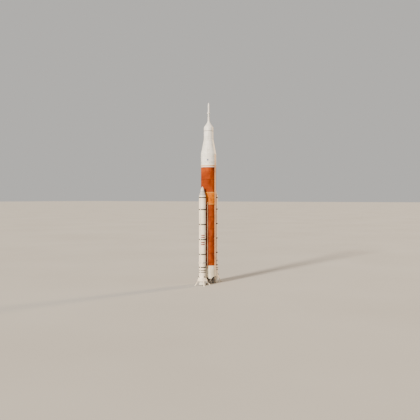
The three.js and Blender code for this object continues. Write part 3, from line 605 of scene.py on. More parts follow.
def core_tanks():
    """Both tanks, and the frame that the boosters' struts reach."""
    for name, barrels in TANKS.items():
        piece(f"{name}_foam", [tank(name, barrels)], "orange_foam", ORANGE, HAND_FOAM, replaces=name,
              smooth=20)
    band = hoop(CORE_R, ATTACH_Z, 0.15, high("hydrogen_tank").x - CORE_R)
    lug = front_strip(0.12, CORE_R, CORE_R + 0.055, ATTACH_Z - 0.1, ATTACH_Z + 0.1, 0.01)
    piece("aft_attach_frame", [band, around(lug, LUG_COUNT)], "orange_foam", HAND_FOAM)


RIB_COUNT = 108  # stringers round the intertank
RIB_PROUD = 0.038
RIBBED_R = CORE_R + RIB_PROUD
FLANGE_HALF = 0.15
PAD_HALF = 0.4
PAD_HALF_H = 0.6
POD_FOOT = 1.2
INTERTANK_DOORS = [(-42, -0.8), (140, -0.2), (215, 0.6)]


def ribbed(inner, outer, count, foot, top):
    """A drum whose side has evenly spaced upright ribs."""
    bm = bmesh.new()
    low_end = Matrix.Translation((0, 0, foot))
    ring = bmesh.ops.create_circle(bm, cap_ends=True, segments=4 * count, radius=inner, matrix=low_end)
    for i, vert in enumerate(ring["verts"]):
        if i % 4 in (1, 2):
            vert.co.xy *= outer / inner
    return pushed(bm, bm.faces[:], (0, 0, top - foot))


def intertank():
    """The ribbed drum between the tanks: flanges, doors, pods, and the pads the boosters push on."""
    foot, top = span("intertank")
    ribs = ribbed(CORE_R, RIBBED_R, RIB_COUNT, foot + 2 * FLANGE_HALF, top - 2 * FLANGE_HALF)
    pad = block((CORE_R - 0.1, -PAD_HALF, THRUST_Z - PAD_HALF_H),
                (high("intertank").x, PAD_HALF, THRUST_Z + PAD_HALF_H))
    pads = around(softened(pad, 0.1, 3), 2)
    # The ribs and pads take the lighter foam, which carries painted sunlight
    piece("intertank_ribs", [ribs, pads], "orange_foam", RIB_FOAM_WITH_PAINTED_SUN, replaces="intertank", smooth=25)
    flanges = []
    bolts = []
    for z in (foot + FLANGE_HALF, top - FLANGE_HALF):
        flanges.append(hoop(CORE_R, z, FLANGE_HALF, FLANGE_PROUD))
        flanges.append(turned([(0, z - FLANGE_HALF), (CORE_R, z - FLANGE_HALF), (CORE_R, z + FLANGE_HALF),
                               (0, z + FLANGE_HALF)]))
        bolts.append(bolt_ring(CORE_R + FLANGE_PROUD, z, 0.015, 0.005))
    piece("intertank_flanges", flanges, "pale_foam", FLANGE_FOAM)
    middle = (foot + top) / 2
    z = middle + POD_FOOT
    pods = [
        facing(front_strip(0.12, RIBBED_R - 0.06, RIBBED_R + 0.1, z, z + 0.5, 0.05), azimuth)
        for azimuth in (-30, 30, 150, 210)
    ]
    fittings = doors(RIBBED_R, middle, INTERTANK_DOORS, 0.45, 0.6, 0.03) + pods
    # The doors and pods take the same foam with painted sunlight
    piece("intertank_doors", fittings, "pale_foam", RIB_FOAM_WITH_PAINTED_SUN)
    piece("intertank_flange_bolts", bolts, "pale_foam", FLANGE_FOAM)


# Large and small doors, as azimuth and height
LARGE_DOORS = [(-25, 9.1), (25, 7.2), (130, 7.0), (215, 9.2)]
SMALL_DOORS = [(-80, 7.0), (80, 9.0)]
BOSS_R = 0.26
BOSS_DEPTH = 0.45


def engine_section():
    """The drum over the engines: bosses inside it, rings at both ends, joint strips and doors."""
    foot, top = high("tail_fairing").z, high("engine_section").z
    root = foot + 0.1
    bosses = [rod((p.x, p.y, root - BOSS_DEPTH), (p.x, p.y, root), BOSS_R) for p in ENGINES.values()]
    side = [(0, foot), (CORE_R, foot), *raised(CORE_R, foot + 0.25, foot + 0.42, 0.02, 0.02),
            *raised(CORE_R, top - 0.4, top, 0.03, 0.03), (0, top)]
    piece("engine_section_skin", [turned(side), *bosses], "white_paint", CREAM, replaces="engine_section",
          smooth=25)
    strips = around(front_strip(0.06, CORE_R - 0.04, CORE_R + 0.012, foot + 0.45, top - 0.42, 0.008), 12, 15)
    piece("engine_section_strips", [strips, bolt_ring(CORE_R + 0.03, top - 0.2)], "white_paint", SEAM)
    plates = doors(CORE_R, 0, LARGE_DOORS, 0.45, 0.5) + doors(CORE_R, 0, SMALL_DOORS, 0.35, 0.35)
    piece("engine_section_doors", plates, "white_paint", WHITE)


TAIL_TIP_R = 4.05
TAIL_WALL = 0.1
ARCH_HALF = 2.15
ARCH_H = 1.1
HEAT_SHIELD_Z = 4.5
SHIELD_WALL = 0.12
SHIELD_HOLE_R = 1.08


def arched_shell(rows, height, proud, wall):
    """A tapered shell whose foot hangs in four tongues between arches, up to a share of its height."""
    foot, top = span("tail_fairing")
    side = [(CORE_R, z) for z in evenly(foot, foot + (top - foot) * height, rows)]
    shell = turned(side, 2 * CORE_STEPS)
    for vert in shell.verts:
        out = vert.co.xy.normalized()
        across = min(1, min(abs(out.x), abs(out.y)) * TAIL_TIP_R / ARCH_HALF)
        edge = foot + ARCH_H * math.sqrt(1 - across**2)
        z = edge + (vert.co.z - foot) / (top - foot) * (top - edge)
        radius = TAIL_TIP_R + (CORE_R - TAIL_TIP_R) * (z - foot) / (top - foot) + proud
        vert.co = (*(out * radius), z)
    bmesh.ops.recalc_face_normals(shell, faces=shell.faces)
    bmesh.ops.solidify(shell, geom=shell.faces[:], thickness=wall)
    bmesh.ops.recalc_face_normals(shell, faces=shell.faces)
    return shell


def tail_fairing():
    """The tapered tail: arched between four tongues, with the base heat shield across it."""
    piece("tail_fairing_skin", [arched_shell(12, 1, 0, TAIL_WALL)], "white_paint", CREAM,
          replaces="tail_fairing")
    piece("tail_fairing_edge", [arched_shell(2, 0.07, 0.015, TAIL_WALL + 0.03)], "white_paint", WHITE)
    rim_r = CORE_R - 0.16
    foot, top = HEAT_SHIELD_Z, HEAT_SHIELD_Z + SHIELD_WALL
    shield = turned([(0, foot), (rim_r, foot), (rim_r, top), (0, top)])
    made = piece("base_heat_shield", [shield], "blanket", BLANKET)
    holes = []
    rims = []
    for p in ENGINES.values():
        holes.append(rod((p.x, p.y, foot - 0.5), (p.x, p.y, foot + 0.5), SHIELD_HOLE_R, 64))
        rim = square_ring(SHIELD_HOLE_R - 0.01, SHIELD_HOLE_R + 0.05, foot - 0.03, foot + 0.02, 64)
        rims.append(moved(rim, Matrix.Translation((p.x, p.y, 0))))
    carve(made, joined(holes))
    piece("heat_shield_rims", rims, "bare_metal", BELL_ALLOY)


def systems_tunnel():
    """The cable tunnel up the core's front."""
    foot, top = span("systems_tunnel")
    made = tray(high("systems_tunnel").x, CORE_R - 0.12, TUNNEL_FACE, foot, top, 0.1, 27)
    piece("systems_tunnel_tray", [made], "pale_foam", PALE_FOAM, replaces="systems_tunnel")


# The oxygen feedlines up the core's sides, and the thin pressure line beside each
FEED_R = 0.21
FEED_AXIS = 4.55
FEED_AZIMUTH = 65.3
FEED_BEND = 0.3
FEED_STEPS = 28
BELLOWS_HALF = 0.08
FOLD_HALF = 0.018
SADDLES = 15
SADDLE_INSET = 2
FITTING_ROOT = CORE_R - 0.04
LINE_R = 0.045
LINE_X = 0.245
LINE_OUT = CORE_R + 0.14


def bellows(z):
    """A collar round the feedline: three folds on a short sleeve."""
    side = [(FEED_R - 0.02, z - BELLOWS_HALF)]
    for i in range(3):
        fold = z + 0.6 * BELLOWS_HALF * (i - 1)
        side += [(FEED_R + 0.01, fold - FOLD_HALF), (FEED_R + 0.04, fold), (FEED_R + 0.01, fold + FOLD_HALF)]
    side.append((FEED_R - 0.02, z + BELLOWS_HALF))
    return moved(turned(side, FEED_STEPS, ring=True), Matrix.Translation((0, -FEED_AXIS, 0)))


def elbowed_pipe(foot, top):
    """A pipe that turns in towards the core at both ends."""
    bm = bmesh.new()
    first, last = foot + FEED_R + FEED_BEND, top - FEED_R - FEED_BEND
    bend = FEED_BEND - FEED_AXIS
    place = Matrix.Translation((0, -FEED_AXIS, first))
    ring = bmesh.ops.create_circle(bm, segments=FEED_STEPS, radius=FEED_R, matrix=place)["verts"]
    edges = list({e for v in ring for e in v.link_edges})
    bmesh.ops.spin(bm, geom=ring + edges, cent=(0, bend, first), axis=(1, 0, 0), angle=math.pi / 2, steps=8)
    lower = [e for e in bm.edges if e.is_boundary and all(v.co.z > first - TOUCH for v in e.verts)]
    grown = bmesh.ops.extrude_edge_only(bm, edges=lower)["geom"]
    tops = [v for v in grown if isinstance(v, bmesh.types.BMVert)]
    bmesh.ops.translate(bm, verts=tops, vec=(0, 0, last - first))
    upper = [e for e in bm.edges if e.is_boundary and all(v.co.z > last - TOUCH for v in e.verts)]
    bmesh.ops.spin(bm, geom=tops + upper, cent=(0, bend, last), axis=(-1, 0, 0), angle=math.pi / 2, steps=8)
    bmesh.ops.remove_doubles(bm, verts=bm.verts, dist=TOUCH)
    bmesh.ops.holes_fill(bm, edges=[e for e in bm.edges if e.is_boundary])
    bmesh.ops.recalc_face_normals(bm, faces=bm.faces)
    return bm


def feedline(word):
    """A feedline with its bellows, saddles and end flanges, and its pressure line."""
    name = f"feedline_{word}"
    foot, top = span(name)
    heights = (foot + 0.9, foot + 1.15, (foot + top) / 2, top - 1.15, top - 0.9)
    pipe = [elbowed_pipe(foot, top), *[bellows(z) for z in heights]]
    inset = FEED_R + SADDLE_INSET
    levels = evenly(foot + inset, top - inset, SADDLES - 1)
    saddles = [front_strip(0.3, FITTING_ROOT, FEED_AXIS + 0.04, z - 0.11, z + 0.11, 0.03) for z in levels]
    flanges = [
        rod((0, -FITTING_ROOT, z), (0, -CORE_R - 0.045, z), FEED_R + 0.11, FEED_STEPS)
        for z in (foot + FEED_R, top - FEED_R)
    ]
    line = [rod((LINE_X, -LINE_OUT, foot + 0.3), (LINE_X, -LINE_OUT, top - 0.3), LINE_R, 12)]
    for z in (foot + 0.3, top - 0.3):
        corner = (LINE_X - 0.07, -LINE_OUT - 0.07, z - 0.08)
        line.append(strip(corner, (LINE_X + 0.07, -FITTING_ROOT, z + 0.08), 0.02))
    pipe, saddles, flanges, line = (
        [facing(joined(shapes), SIDES[word] * FEED_AZIMUTH)] for shapes in (pipe, saddles, flanges, line)
    )
    piece(f"{name}_pipe", pipe, "pale_foam", PALE_FOAM, replaces=name, smooth=40)
    piece(f"{name}_brackets", saddles, "dark_metal", DARK_ALLOY)
    piece(f"{name}_flanges", flanges, "bare_metal", BELL_ALLOY)
    piece(f"{name}_pressure_line", line, "bare_metal", BELL_ALLOY)


def vent(azimuth, foot):
    """A louvred vent: four slats in a flat frame."""
    shapes = [front_strip(0.32, CORE_R - 0.08, CORE_R + 0.022, foot, foot + 0.34, 0.01)]
    for i in range(4):
        z = foot + 0.04 + 0.07 * i
        shapes.append(front_strip(0.28, CORE_R, CORE_R + 0.042, z, z + 0.035, 0.006))
    return facing(joined(shapes), azimuth)


def forward_skirt():
    """The drum over the oxygen tank: a ring at its foot, a flange at its top, vents and antennas."""
    foot, top = span("forward_skirt")
    side = [(0, foot), (CORE_R + 0.03, foot), (CORE_R + 0.03, foot + 0.3), (CORE_R, foot + 0.34)]
    side += raised(CORE_R, foot + 1.1, foot + 1.33, 0.015, 0.03)
    side += [(CORE_R, top - 0.12), (CORE_R + 0.04, top - 0.11), (CORE_R + 0.05, top - 0.09),
             (CORE_R + 0.05, top), (0, top)]
    piece("forward_skirt_skin", [turned(side)], "white_paint", WHITE, replaces="forward_skirt", smooth=25)
    closeout = hoop(CORE_R + 0.02, foot + 0.72, 0.34, 0.035)
    piece("forward_skirt_closeout", [closeout], "pale_foam", PALE_FOAM)
    z = foot + 2.2
    antenna = rod((CORE_R - 0.04, 0, z), (CORE_R + 0.04, 0, z), 0.14)
    piece("forward_skirt_antennas", [around(antenna, 4, 40)], "dark_metal", BLACK_SEAL_AND_SHADE)
    vents = [vent(azimuth, z + 0.28) for azimuth in range(12, 372, 45)]
    piece("forward_skirt_vents", vents, "white_paint", GREY)
    joint = front_strip(0.04, CORE_R - 0.04, CORE_R + 0.01, foot + 0.35, top - 0.13, 0.006)
    piece("forward_skirt_joints", [around(joint, 8, 5)], "white_paint", SEAM)


# The umbilical plates at the back: name, slot, x, half width, foot and top
PLATES = [
    ("tail_plate_left", "white_paint", -1.2, 0.35, 7.4, 8.6),
    ("tail_plate_right", "white_paint", 1.2, 0.35, 7.4, 8.6),
    ("intertank_plate", "pale_foam", 0, 0.5, 46.4, 47.8),
    ("forward_plate", "white_paint", 0, 0.45, 65.6, 66.8),
]


def umbilical_plate(name, slot, x, half, foot, top):
    """A box that stands off the back, with a framed face and two columns of sockets."""
    box = strip((x - half, CORE_R - 0.2, foot), (x + half, TUNNEL_FACE, top), 0.03)
    framed(box, [next(f for f in box.faces if f.normal.y > 0.99)], 0.12 * half, 0.004, 0.025)
    sockets = []
    for column in (x - 0.4 * half, x + 0.4 * half):
        for row in (0.25, 0.5, 0.75):
            root = Vector((column, TUNNEL_FACE - 0.04, foot + row * (top - foot)))
            sockets.append(rod(root, root + Vector((0, 0.035, 0)), 0.13 * half, 20))
            sockets.append(rod(root, root + Vector((0, 0.04, 0)), 0.07 * half, 12))
    piece(f"{name}_box", [box], slot, GREY)
    piece(f"{name}_sockets", sockets, "dark_metal", DARK_ALLOY)


# Upper stage and spacecraft

HEAD_FLANGE_H = 0.12
MARK_STEPS = 48
MARK_R = 0.5
MARK_AZIMUTH = -65
MARK_Z = 68.6


def round_mark(radius, azimuth, z, size):
    """A plain painted disc that follows a round body's side."""
    side = [(r, 0.008) for r in evenly(0, size, 6)] + [(size + 0.002, -0.03), (0, -0.03)]
    disc = turned(side, MARK_STEPS)
    for vert in disc.verts:
        x, y, out = vert.co
        vert.co = (math.sin(x / radius) * (radius + out), -math.cos(x / radius) * (radius + out), z + y)
    bmesh.ops.recalc_face_normals(disc, faces=disc.faces)
    return facing(disc, azimuth)


def interstage():
    """The drum under the adapter: ring joints, a bolted flange at its top, doors and a round mark."""
    foot, top = span("interstage")
    joints = [foot + 1.33, foot + 2.7]
    face = CORE_R + FLANGE_PROUD
    side = [(0, foot), (CORE_R, foot), *ring_joint(CORE_R, joints[0]), *ring_joint(CORE_R, joints[1])]
    side += over(top, [(CORE_R, -HEAD_FLANGE_H), (face - 0.01, -HEAD_FLANGE_H), (face, 0.01 - HEAD_FLANGE_H),
                       (face, -0.01), (face - 0.01, 0), (0, 0)])
    skin = banded(turned(side), joints, RING_HALF)
    piece("interstage_skin", [skin], "white_paint", WHITE, SEAM, replaces="interstage", smooth=25)
    plates = doors(CORE_R, foot, [(-38, 2), (-100, 2), (140, 2)], 0.3, 0.35)
    plates += doors(CORE_R, foot, [(50, 2), (215, 2)], 0.4, 0.35)
    piece("interstage_doors", plates, "white_paint", WHITE)
    piece("interstage_flange_bolts", [bolt_ring(face, top - HEAD_FLANGE_H / 2)], "white_paint", GREY)
    piece("interstage_mark", [round_mark(CORE_R, MARK_AZIMUTH, MARK_Z, MARK_R)], "white_paint", BLUE)


# On the adapter's side, as shares of the way up it: its joints, each batten's ends, and its doors
# after their azimuths
ADAPTER_JOINTS = (0.3, 0.62, 0.9)
ADAPTER_BATTENS = [(0.02, 0.285), (0.315, 0.605), (0.635, 0.885)]
ADAPTER_DOORS = [(5, 0.1), (85, 0.12), (165, 0.1), (250, 0.12), (-50, 0.68), (130, 0.68)]


def stage_adapter():
    """The tapered adapter: panels under flat battens, ring joints between them, doors near its foot."""
    foot, top = span("stage_adapter")
    cone = ((CORE_R, foot), (CAPSULE_R, top))
    length = math.dist(*cone)
    side = [(0, foot), (CORE_R - 0.01, foot), (CORE_R, foot + 0.02)]
    joints = [foot + (top - foot) * share for share in ADAPTER_JOINTS]
    for share, z in zip(ADAPTER_JOINTS, joints):
        r = CORE_R + (CAPSULE_R - CORE_R) * share
        side += ring_joint(r, z, r - 0.014)
    side += [(CAPSULE_R + 0.02, top - 0.12), (CAPSULE_R + 0.04, top - 0.1), (CAPSULE_R + 0.04, top), (0, top)]
    skin = banded(turned(side), joints, RING_HALF)
    piece("stage_adapter_skin", [skin], "white_paint", WHITE, SEAM, replaces="stage_adapter", smooth=25)
    battens = [
        leaned(front_strip(0.04, -0.03, 0.012, 0, (end - start) * length, 0.005), *cone, start, 22.5 + 45 * i)
        for i in range(8)
        for start, end in ADAPTER_BATTENS
    ]
    piece("stage_adapter_battens", battens, "white_paint", SEAM)
    piece("stage_adapter_doors", leaned_doors(cone, ADAPTER_DOORS, 0.3, 0.4, 0.012), "white_paint", WHITE)


def spacecraft_adapter():
    """The short drum under the spacecraft, with a bolted flange round it."""
    foot, top = span("spacecraft_adapter")
    face = high("spacecraft_adapter").x
    side = over(foot, [(0, 0), (CAPSULE_R, 0), (face - 0.01, 0.2), (face, 0.24), (face, 0.36),
                       (face - 0.01, 0.4), (CAPSULE_R, 0.5)])
    side += [(CAPSULE_R, top), (0, top)]
    piece("spacecraft_adapter_ring", [turned(side)], "white_paint", WHITE, replaces="spacecraft_adapter",
          smooth=25)
    z = foot + 0.3
    bolt = block((face - 0.01, -0.03, z - 0.03), (face + 0.02, 0.03, z + 0.03))
    piece("spacecraft_adapter_bolts", [around(bolt, 36)], "grey_paint", GREY)


PANEL_WALL = 0.14
PANEL_SEAM = 0.012


def service_panels():
    """Three curved panels, each a third of a turn, with a batten along each upright edge."""
    foot, top = span("service_panel_1")
    root, edge = CAPSULE_R - PANEL_WALL, CAPSULE_R - 0.01
    corners = [(root, foot), (edge, foot), (CAPSULE_R, foot + 0.01), (CAPSULE_R, top - 0.01), (edge, top),
               (root, top)]
    half_angle = math.pi / 3 - PANEL_SEAM / 2 / CAPSULE_R
    for i in range(3):
        panel = swept(corners, math.radians(150 + 120 * i), half_angle, 40)
        name = f"service_panel_{i + 1}"
        piece(f"{name}_skin", [panel], "white_paint", WHITE, replaces=name)
    batten = strip((CAPSULE_R - 0.03, 0.03, foot + 0.1), (CAPSULE_R + 0.01, 0.09, top - 0.1), 0.005)
    rings = [hoop(CAPSULE_R, z, 0.04, 0.012) for z in (foot + 0.06, top - 0.06)]
    piece("service_panel_battens", [around(batten, 3, 90), *rings], "white_paint", SEAM)
    hatches = doors(CAPSULE_R, foot, [(-70, 1.5), (50, 1.5), (170, 1.5)], 0.25, 0.4, 0.012)
    piece("service_panel_hatches", hatches, "white_paint", WHITE)


# The fairing over the crew module, and the hatch in its back
FAIRING_FOOT, FAIRING_TOP = span("abort_fairing")
FAIRING_SHOULDER = FAIRING_FOOT + 1.9
FAIRING_WALL = 0.1
FAIRING_ROWS = 22
NECK_R = 0.48
NECK_SHARE = 0.93
HINGE = JOINTS["crew_hatch_hinge"]
HATCH_HALF_ANGLE = math.radians(11)
HATCH_HALF_H = 0.6
HATCH_GAP = 0.05


def fairing_point(share, inset=0):
    """A point of the ogive, a share of the way from its shoulder up to the tower, less a wall."""
    fall = 0.5 - 0.5 * math.cos(math.pi * min(1, share / NECK_SHARE) ** 0.92)
    radius = CAPSULE_R - (CAPSULE_R - NECK_R) * fall**0.86
    return radius - inset * (1 - 0.5 * share), FAIRING_SHOULDER + (FAIRING_TOP - FAIRING_SHOULDER) * share


def fairing_side(inset):
    """The fairing's outline from its foot up, less a wall."""
    r = CAPSULE_R - inset
    curve = [fairing_point(share, inset) for share in evenly(0, 1, FAIRING_ROWS)[1:]]
    return [(r, FAIRING_FOOT), (r, FAIRING_SHOULDER), *curve]


def hinge_barrel(foot, top):
    return rod((HINGE.x, HINGE.y, foot), (HINGE.x, HINGE.y, top), 0.045, 16)


def abort_fairing():
    """The ogive over the crew module: a shell with a hatchway in its back, seams and ports."""
    outer, inner = fairing_side(0), fairing_side(FAIRING_WALL)[:-2]
    side = [*outer, (0, outer[-1][1]), (0, inner[-1][1]), *reversed(inner)]
    made = piece("abort_fairing_shell", [turned(side, ring=True)], "white_paint", WHITE,
                 replaces="abort_fairing", smooth=30)
    carve(made, curved_plate(CAPSULE_R - 0.5, CAPSULE_R + 0.5, HINGE.z - HATCH_HALF_H, HINGE.z + HATCH_HALF_H,
                             math.pi / 2, HATCH_HALF_ANGLE))
    ears = []
    for foot, top in ((HINGE.z - 0.3, HINGE.z - 0.155), (HINGE.z + 0.155, HINGE.z + 0.3)):
        ears.append(hinge_barrel(foot, top))
        ears.append(strip((HINGE.x - 0.1, HINGE.y - 0.1, foot), (HINGE.x, HINGE.y + 0.02, top), 0.008))
    piece("hatch_hinge_ears", ears, "white_paint", GREY)
    foot = FAIRING_FOOT
    seam = front_strip(0.04, CAPSULE_R - 0.04, CAPSULE_R + 0.008, foot + 0.12, foot + 1.9, 0.004)
    rings = [
        hoop(CAPSULE_R, foot + 0.035, 0.03, 0.02),
        hoop(*fairing_point(0.3), 0.04, 0.01),
        hoop(*fairing_point(NECK_SHARE), 0.06, 0.02, TOWER_STEPS),
    ]
    piece("fairing_seams", [around(seam, 4, 45), *rings], "white_paint", SEAM)
    piece("fairing_foot_seal", [hoop(CAPSULE_R, foot + 0.15, 0.08, 0.016)], "dark_metal", BLACK_SEAL_AND_SHADE)
    ports = doors(CAPSULE_R, foot, [(-75, 1.2), (20, 1.2), (110, 1.2)], 0.16, 0.2, 0.012)
    piece("fairing_ports", ports, "white_paint", WHITE)


def crew_hatch():
    """The hatch in the fairing: a curved panel with a round window, a handle and its hinge barrel."""
    x, y, z = HINGE
    r = CAPSULE_R
    half = HATCH_HALF_H - HATCH_GAP
    panel = curved_plate(r - 0.1, r, z - half, z + half, math.pi / 2, HATCH_HALF_ANGLE - HATCH_GAP / r, 16)
    piece("crew_hatch_panel", [softened(panel, 0.015, 2, 60)], "white_paint", WHITE, body="crew_hatch",
          replaces="crew_hatch")
    window_z = z + 0.2
    window = rod((0, r - 0.03, window_z), (0, r + 0.02, window_z), 0.14, SMALL_STEPS)
    piece("crew_hatch_window", [window], "dark_metal", BLACK_SEAL_AND_SHADE, body="crew_hatch")
    rim = rod((0, r - 0.03, window_z), (0, r + 0.012, window_z), 0.19, SMALL_STEPS)
    feet = [strip((0.25, r - 0.06, z + h), (0.29, r + 0.04, z + h + 0.04), 0.008) for h in (-0.3, -0.1)]
    grip = strip((0.245, r + 0.02, z - 0.32), (0.295, r + 0.05, z - 0.04), 0.01)
    leaf = strip((x, y - 0.08, z - 0.15), (x + 0.14, y + 0.02, z + 0.15), 0.008)
    fittings = [rim, *feet, grip, leaf, hinge_barrel(z - 0.15, z + 0.15)]
    piece("crew_hatch_fittings", fittings, "white_paint", GREY, body="crew_hatch")


def crew_module():
    """The crew module inside: a blunt cone in dark tiles, seen through the open hatchway."""
    foot, top = span("crew_module")
    r, head_r = high("crew_module").x, 0.78
    side = [(0, foot), (r - 0.04, foot), (r, foot + 0.04), (r, foot + 0.15), (head_r, top - 0.1), (0, top)]
    piece("crew_module_tiles", [turned(side, 72)], "grey_paint", TILES, replaces="crew_module")
    lean = Matrix.Rotation(math.atan2(r - head_r, top - foot - 0.25), 4, "X")
    place = Matrix.Translation((0, r - 0.31, foot + 0.75)) @ lean
    plate = moved(strip((-0.32, 0, -0.4), (0.32, 0.06, 0.5), 0.06), place)
    piece("crew_module_door", [plate], "grey_paint", GREY)


TOWER_R = 0.42
COLLAR_R = TOWER_R + 0.08
ABORT_NOZZLE_Z = 94.95
ABORT_CANT = math.radians(40)
ABORT_BANDS = (92.9, 93.4, 93.9, 95.2)
RACEWAY = (92.6, 94.35)
JETTISON_R = 0.37
ATTITUDE_R = 0.4
NOSE_R = 0.35


def abort_nozzle():
    """One of the abort motor's nozzles: a short bell, canted outwards, dark inside."""
    throat, mouth, length, wall = 0.13, 0.23, 0.8, 0.03
    outer = []
    for share in evenly(0, 1, 6):
        outer.append((throat + (mouth - throat) * (1 - (1 - share) ** 1.8), -length * share))
    inner = [(r - wall, z) for r, z in outer[1:]]
    nozzle = turned([(0, 0), *outer, *reversed(inner), (0, -0.1 * length)], SMALL_STEPS)
    coloured(nozzle, lambda c, n: n.xy.dot(c.xy) < 0 or n.z < -0.9)
    cant = Matrix.Translation((0.36, 0, ABORT_NOZZLE_Z)) @ Matrix.Rotation(-ABORT_CANT, 4, "Y")
    return moved(nozzle, cant @ Matrix.Translation((0, 0, 0.1)))


def abort_motor():
    """The tower's long motor: a collar with four nozzles, painted bands and a raceway on each side."""
    foot, top = span("abort_motor")
    side = over(foot, [(0, 0), (NECK_R, 0), (NECK_R, 1.2), (NECK_R - 0.015, 1.35), (TOWER_R, 1.5)])
    side += over(ABORT_NOZZLE_Z, [(TOWER_R, -0.5), (COLLAR_R - 0.02, -0.44), (COLLAR_R, -0.35),
                                  (COLLAR_R, 0.15), (TOWER_R, 0.22)])
    case = turned([*side, (TOWER_R, top), (0, top)], TOWER_STEPS)
    piece("abort_motor_case", [case], "white_paint", WHITE, replaces="abort_motor")
    piece("abort_motor_nozzles", [around(abort_nozzle(), 4, 45)], "white_paint", WHITE, SOOT)
    bands = [hoop(TOWER_R, z, 0.04, 0.012, TOWER_STEPS) for z in ABORT_BANDS]
    raceway = front_strip(0.06, TOWER_R - 0.02, TOWER_R + 0.04, *RACEWAY, 0.015)
    piece("abort_motor_bands", [*bands, around(raceway, 2)], "grey_paint", BAND_GREY_AND_SHADE)


def jettison_motor():
    """The motor over it, slimmer and shorter, with four ports round its foot."""
    foot, top = span("jettison_motor")
    r = JETTISON_R
    side = over(foot, [(0, 0), (TOWER_R, 0), (TOWER_R, 0.5), (TOWER_R - 0.02, 0.56), (r, 0.8)])
    side += over(top, [(r, -0.12), (r + 0.02, -0.1), (r + 0.02, 0), (0, 0)])
    case = turned(side, TOWER_STEPS)
    piece("jettison_motor_case", [case], "white_paint", WHITE, replaces="jettison_motor")
    port = rod((r - 0.04, 0, foot + 0.62), (r + 0.045, 0, foot + 0.56), 0.06, 20)
    piece("jettison_motor_ports", [around(port, 4)], "dark_metal", DARK_ALLOY)


def attitude_motor():
    """The motor at the tip: a rounded nose with eight valves round it."""
    foot = low("attitude_motor").z
    r = ATTITUDE_R
    waist = foot + 1.1
    side = over(foot, [(0, 0), (r, 0), (r, 0.8), (r - 0.005, 0.9), (NOSE_R, 1.1)])
    side += [(NOSE_R * (1 - share**2.4), waist + (TIP - waist) * share) for share in evenly(0, 1, 12)[1:]]
    nose = turned(side, TOWER_STEPS)
    piece("attitude_motor_nose", [nose], "white_paint", WHITE, replaces="attitude_motor")
    z = foot + 0.45
    valve = rod((r - 0.03, 0, z), (r + 0.025, 0, z), 0.065, 20, 0.075)
    piece("attitude_motor_valves", [around(valve, 8)], "dark_metal", DARK_ALLOY)


# Main engines

MOUTH_Z = low("engine_front_left_nozzle").z
MOUTH_R = (high("engine_front_left_nozzle").x - low("engine_front_left_nozzle").x) / 2
LIP_R = 0.04
GIMBAL_Z = JOINTS["engine_front_left_pitch"].z
CHAMBER_FOOT = GIMBAL_Z - 0.95
THROAT_R = 0.16
BELL_WALL = 0.035
BELL_ROWS = 22
BELL_STEPS = 72
BELL_BANDS = (0.3, 0.42, 0.54, 0.66, 0.78, 0.9)
TUBE_COUNT = 90  # coolant tubes, really about a thousand and drawn coarser so that they show
TUBE_DEPTH = 0.022
TUBE_COLUMNS = 4  # points across a tube, one of them drawn in as the groove beside it
DUCT_COUNT = 3
DUCT_R = 0.055
DOME_R = 1.25
DOME_WALL = 0.06
DOME_EDGE = -33  # where the dome ends, in degrees from the gimbal's level
NECK_HOLE_R = 0.36


def bell_point(share):
    """A point of the bell's outside, a share of the way down it."""
    flare = 1 - (1 - share) ** 2.1
    radius = THROAT_R + (MOUTH_R - LIP_R - THROAT_R) * flare
    return radius + BELL_WALL, CHAMBER_FOOT + (MOUTH_Z - CHAMBER_FOOT) * share


def coolant_bell():
    """The bell: a wall of tubes outside, plain inside."""
    outer = [bell_point(share) for share in evenly(0, 1, BELL_ROWS)]
    inner = [(r - BELL_WALL, z) for r, z in reversed(outer)]
    columns = TUBE_COLUMNS * TUBE_COUNT
    bell = turned([(0, CHAMBER_FOOT), *outer, *inner, (0, CHAMBER_FOOT)], columns)
    bell.normal_update()
    for vert in bell.verts:
        column = round(columns * math.atan2(vert.co.y, vert.co.x) / (2 * math.pi))
        if vert.normal.xy.dot(vert.co.xy) > 0 and column % TUBE_COLUMNS == TUBE_COLUMNS // 2:
            vert.co.xy *= 1 - TUBE_DEPTH / vert.co.xy.length
    return bell


def bell_duct():
    """A coolant duct that follows the bell down to the ring round its mouth."""
    points = []
    for share in evenly(0.2, 0.98, 10):
        radius, z = bell_point(share)
        points.append((radius + 2 * DUCT_R, 0, z))
    pipe = [rod(start, end, DUCT_R, 12) for start, end in zip(points, points[1:])]
    x, _, z = points[-1]
    return joined([*pipe, rod((x, 0, z + 0.06), (x - 0.02, 0, z - 0.08), 1.7 * DUCT_R, 16)])


def dome_shield():
    """The round heat shield over an engine, with the collar that the chamber comes through."""
    neck = math.degrees(math.asin(NECK_HOLE_R / DOME_R)) - 90
    dome = arc((0, GIMBAL_Z), DOME_R, neck, DOME_EDGE, 12)
    z = dome[0][1]
    dome += arc((0, GIMBAL_Z), DOME_R - DOME_WALL, DOME_EDGE, neck, 12)
    collar = square_ring(0.2, 0.5, z - 0.12, z + 0.04, TOWER_STEPS)
    return joined([turned(dome, BELL_STEPS, ring=True), collar])


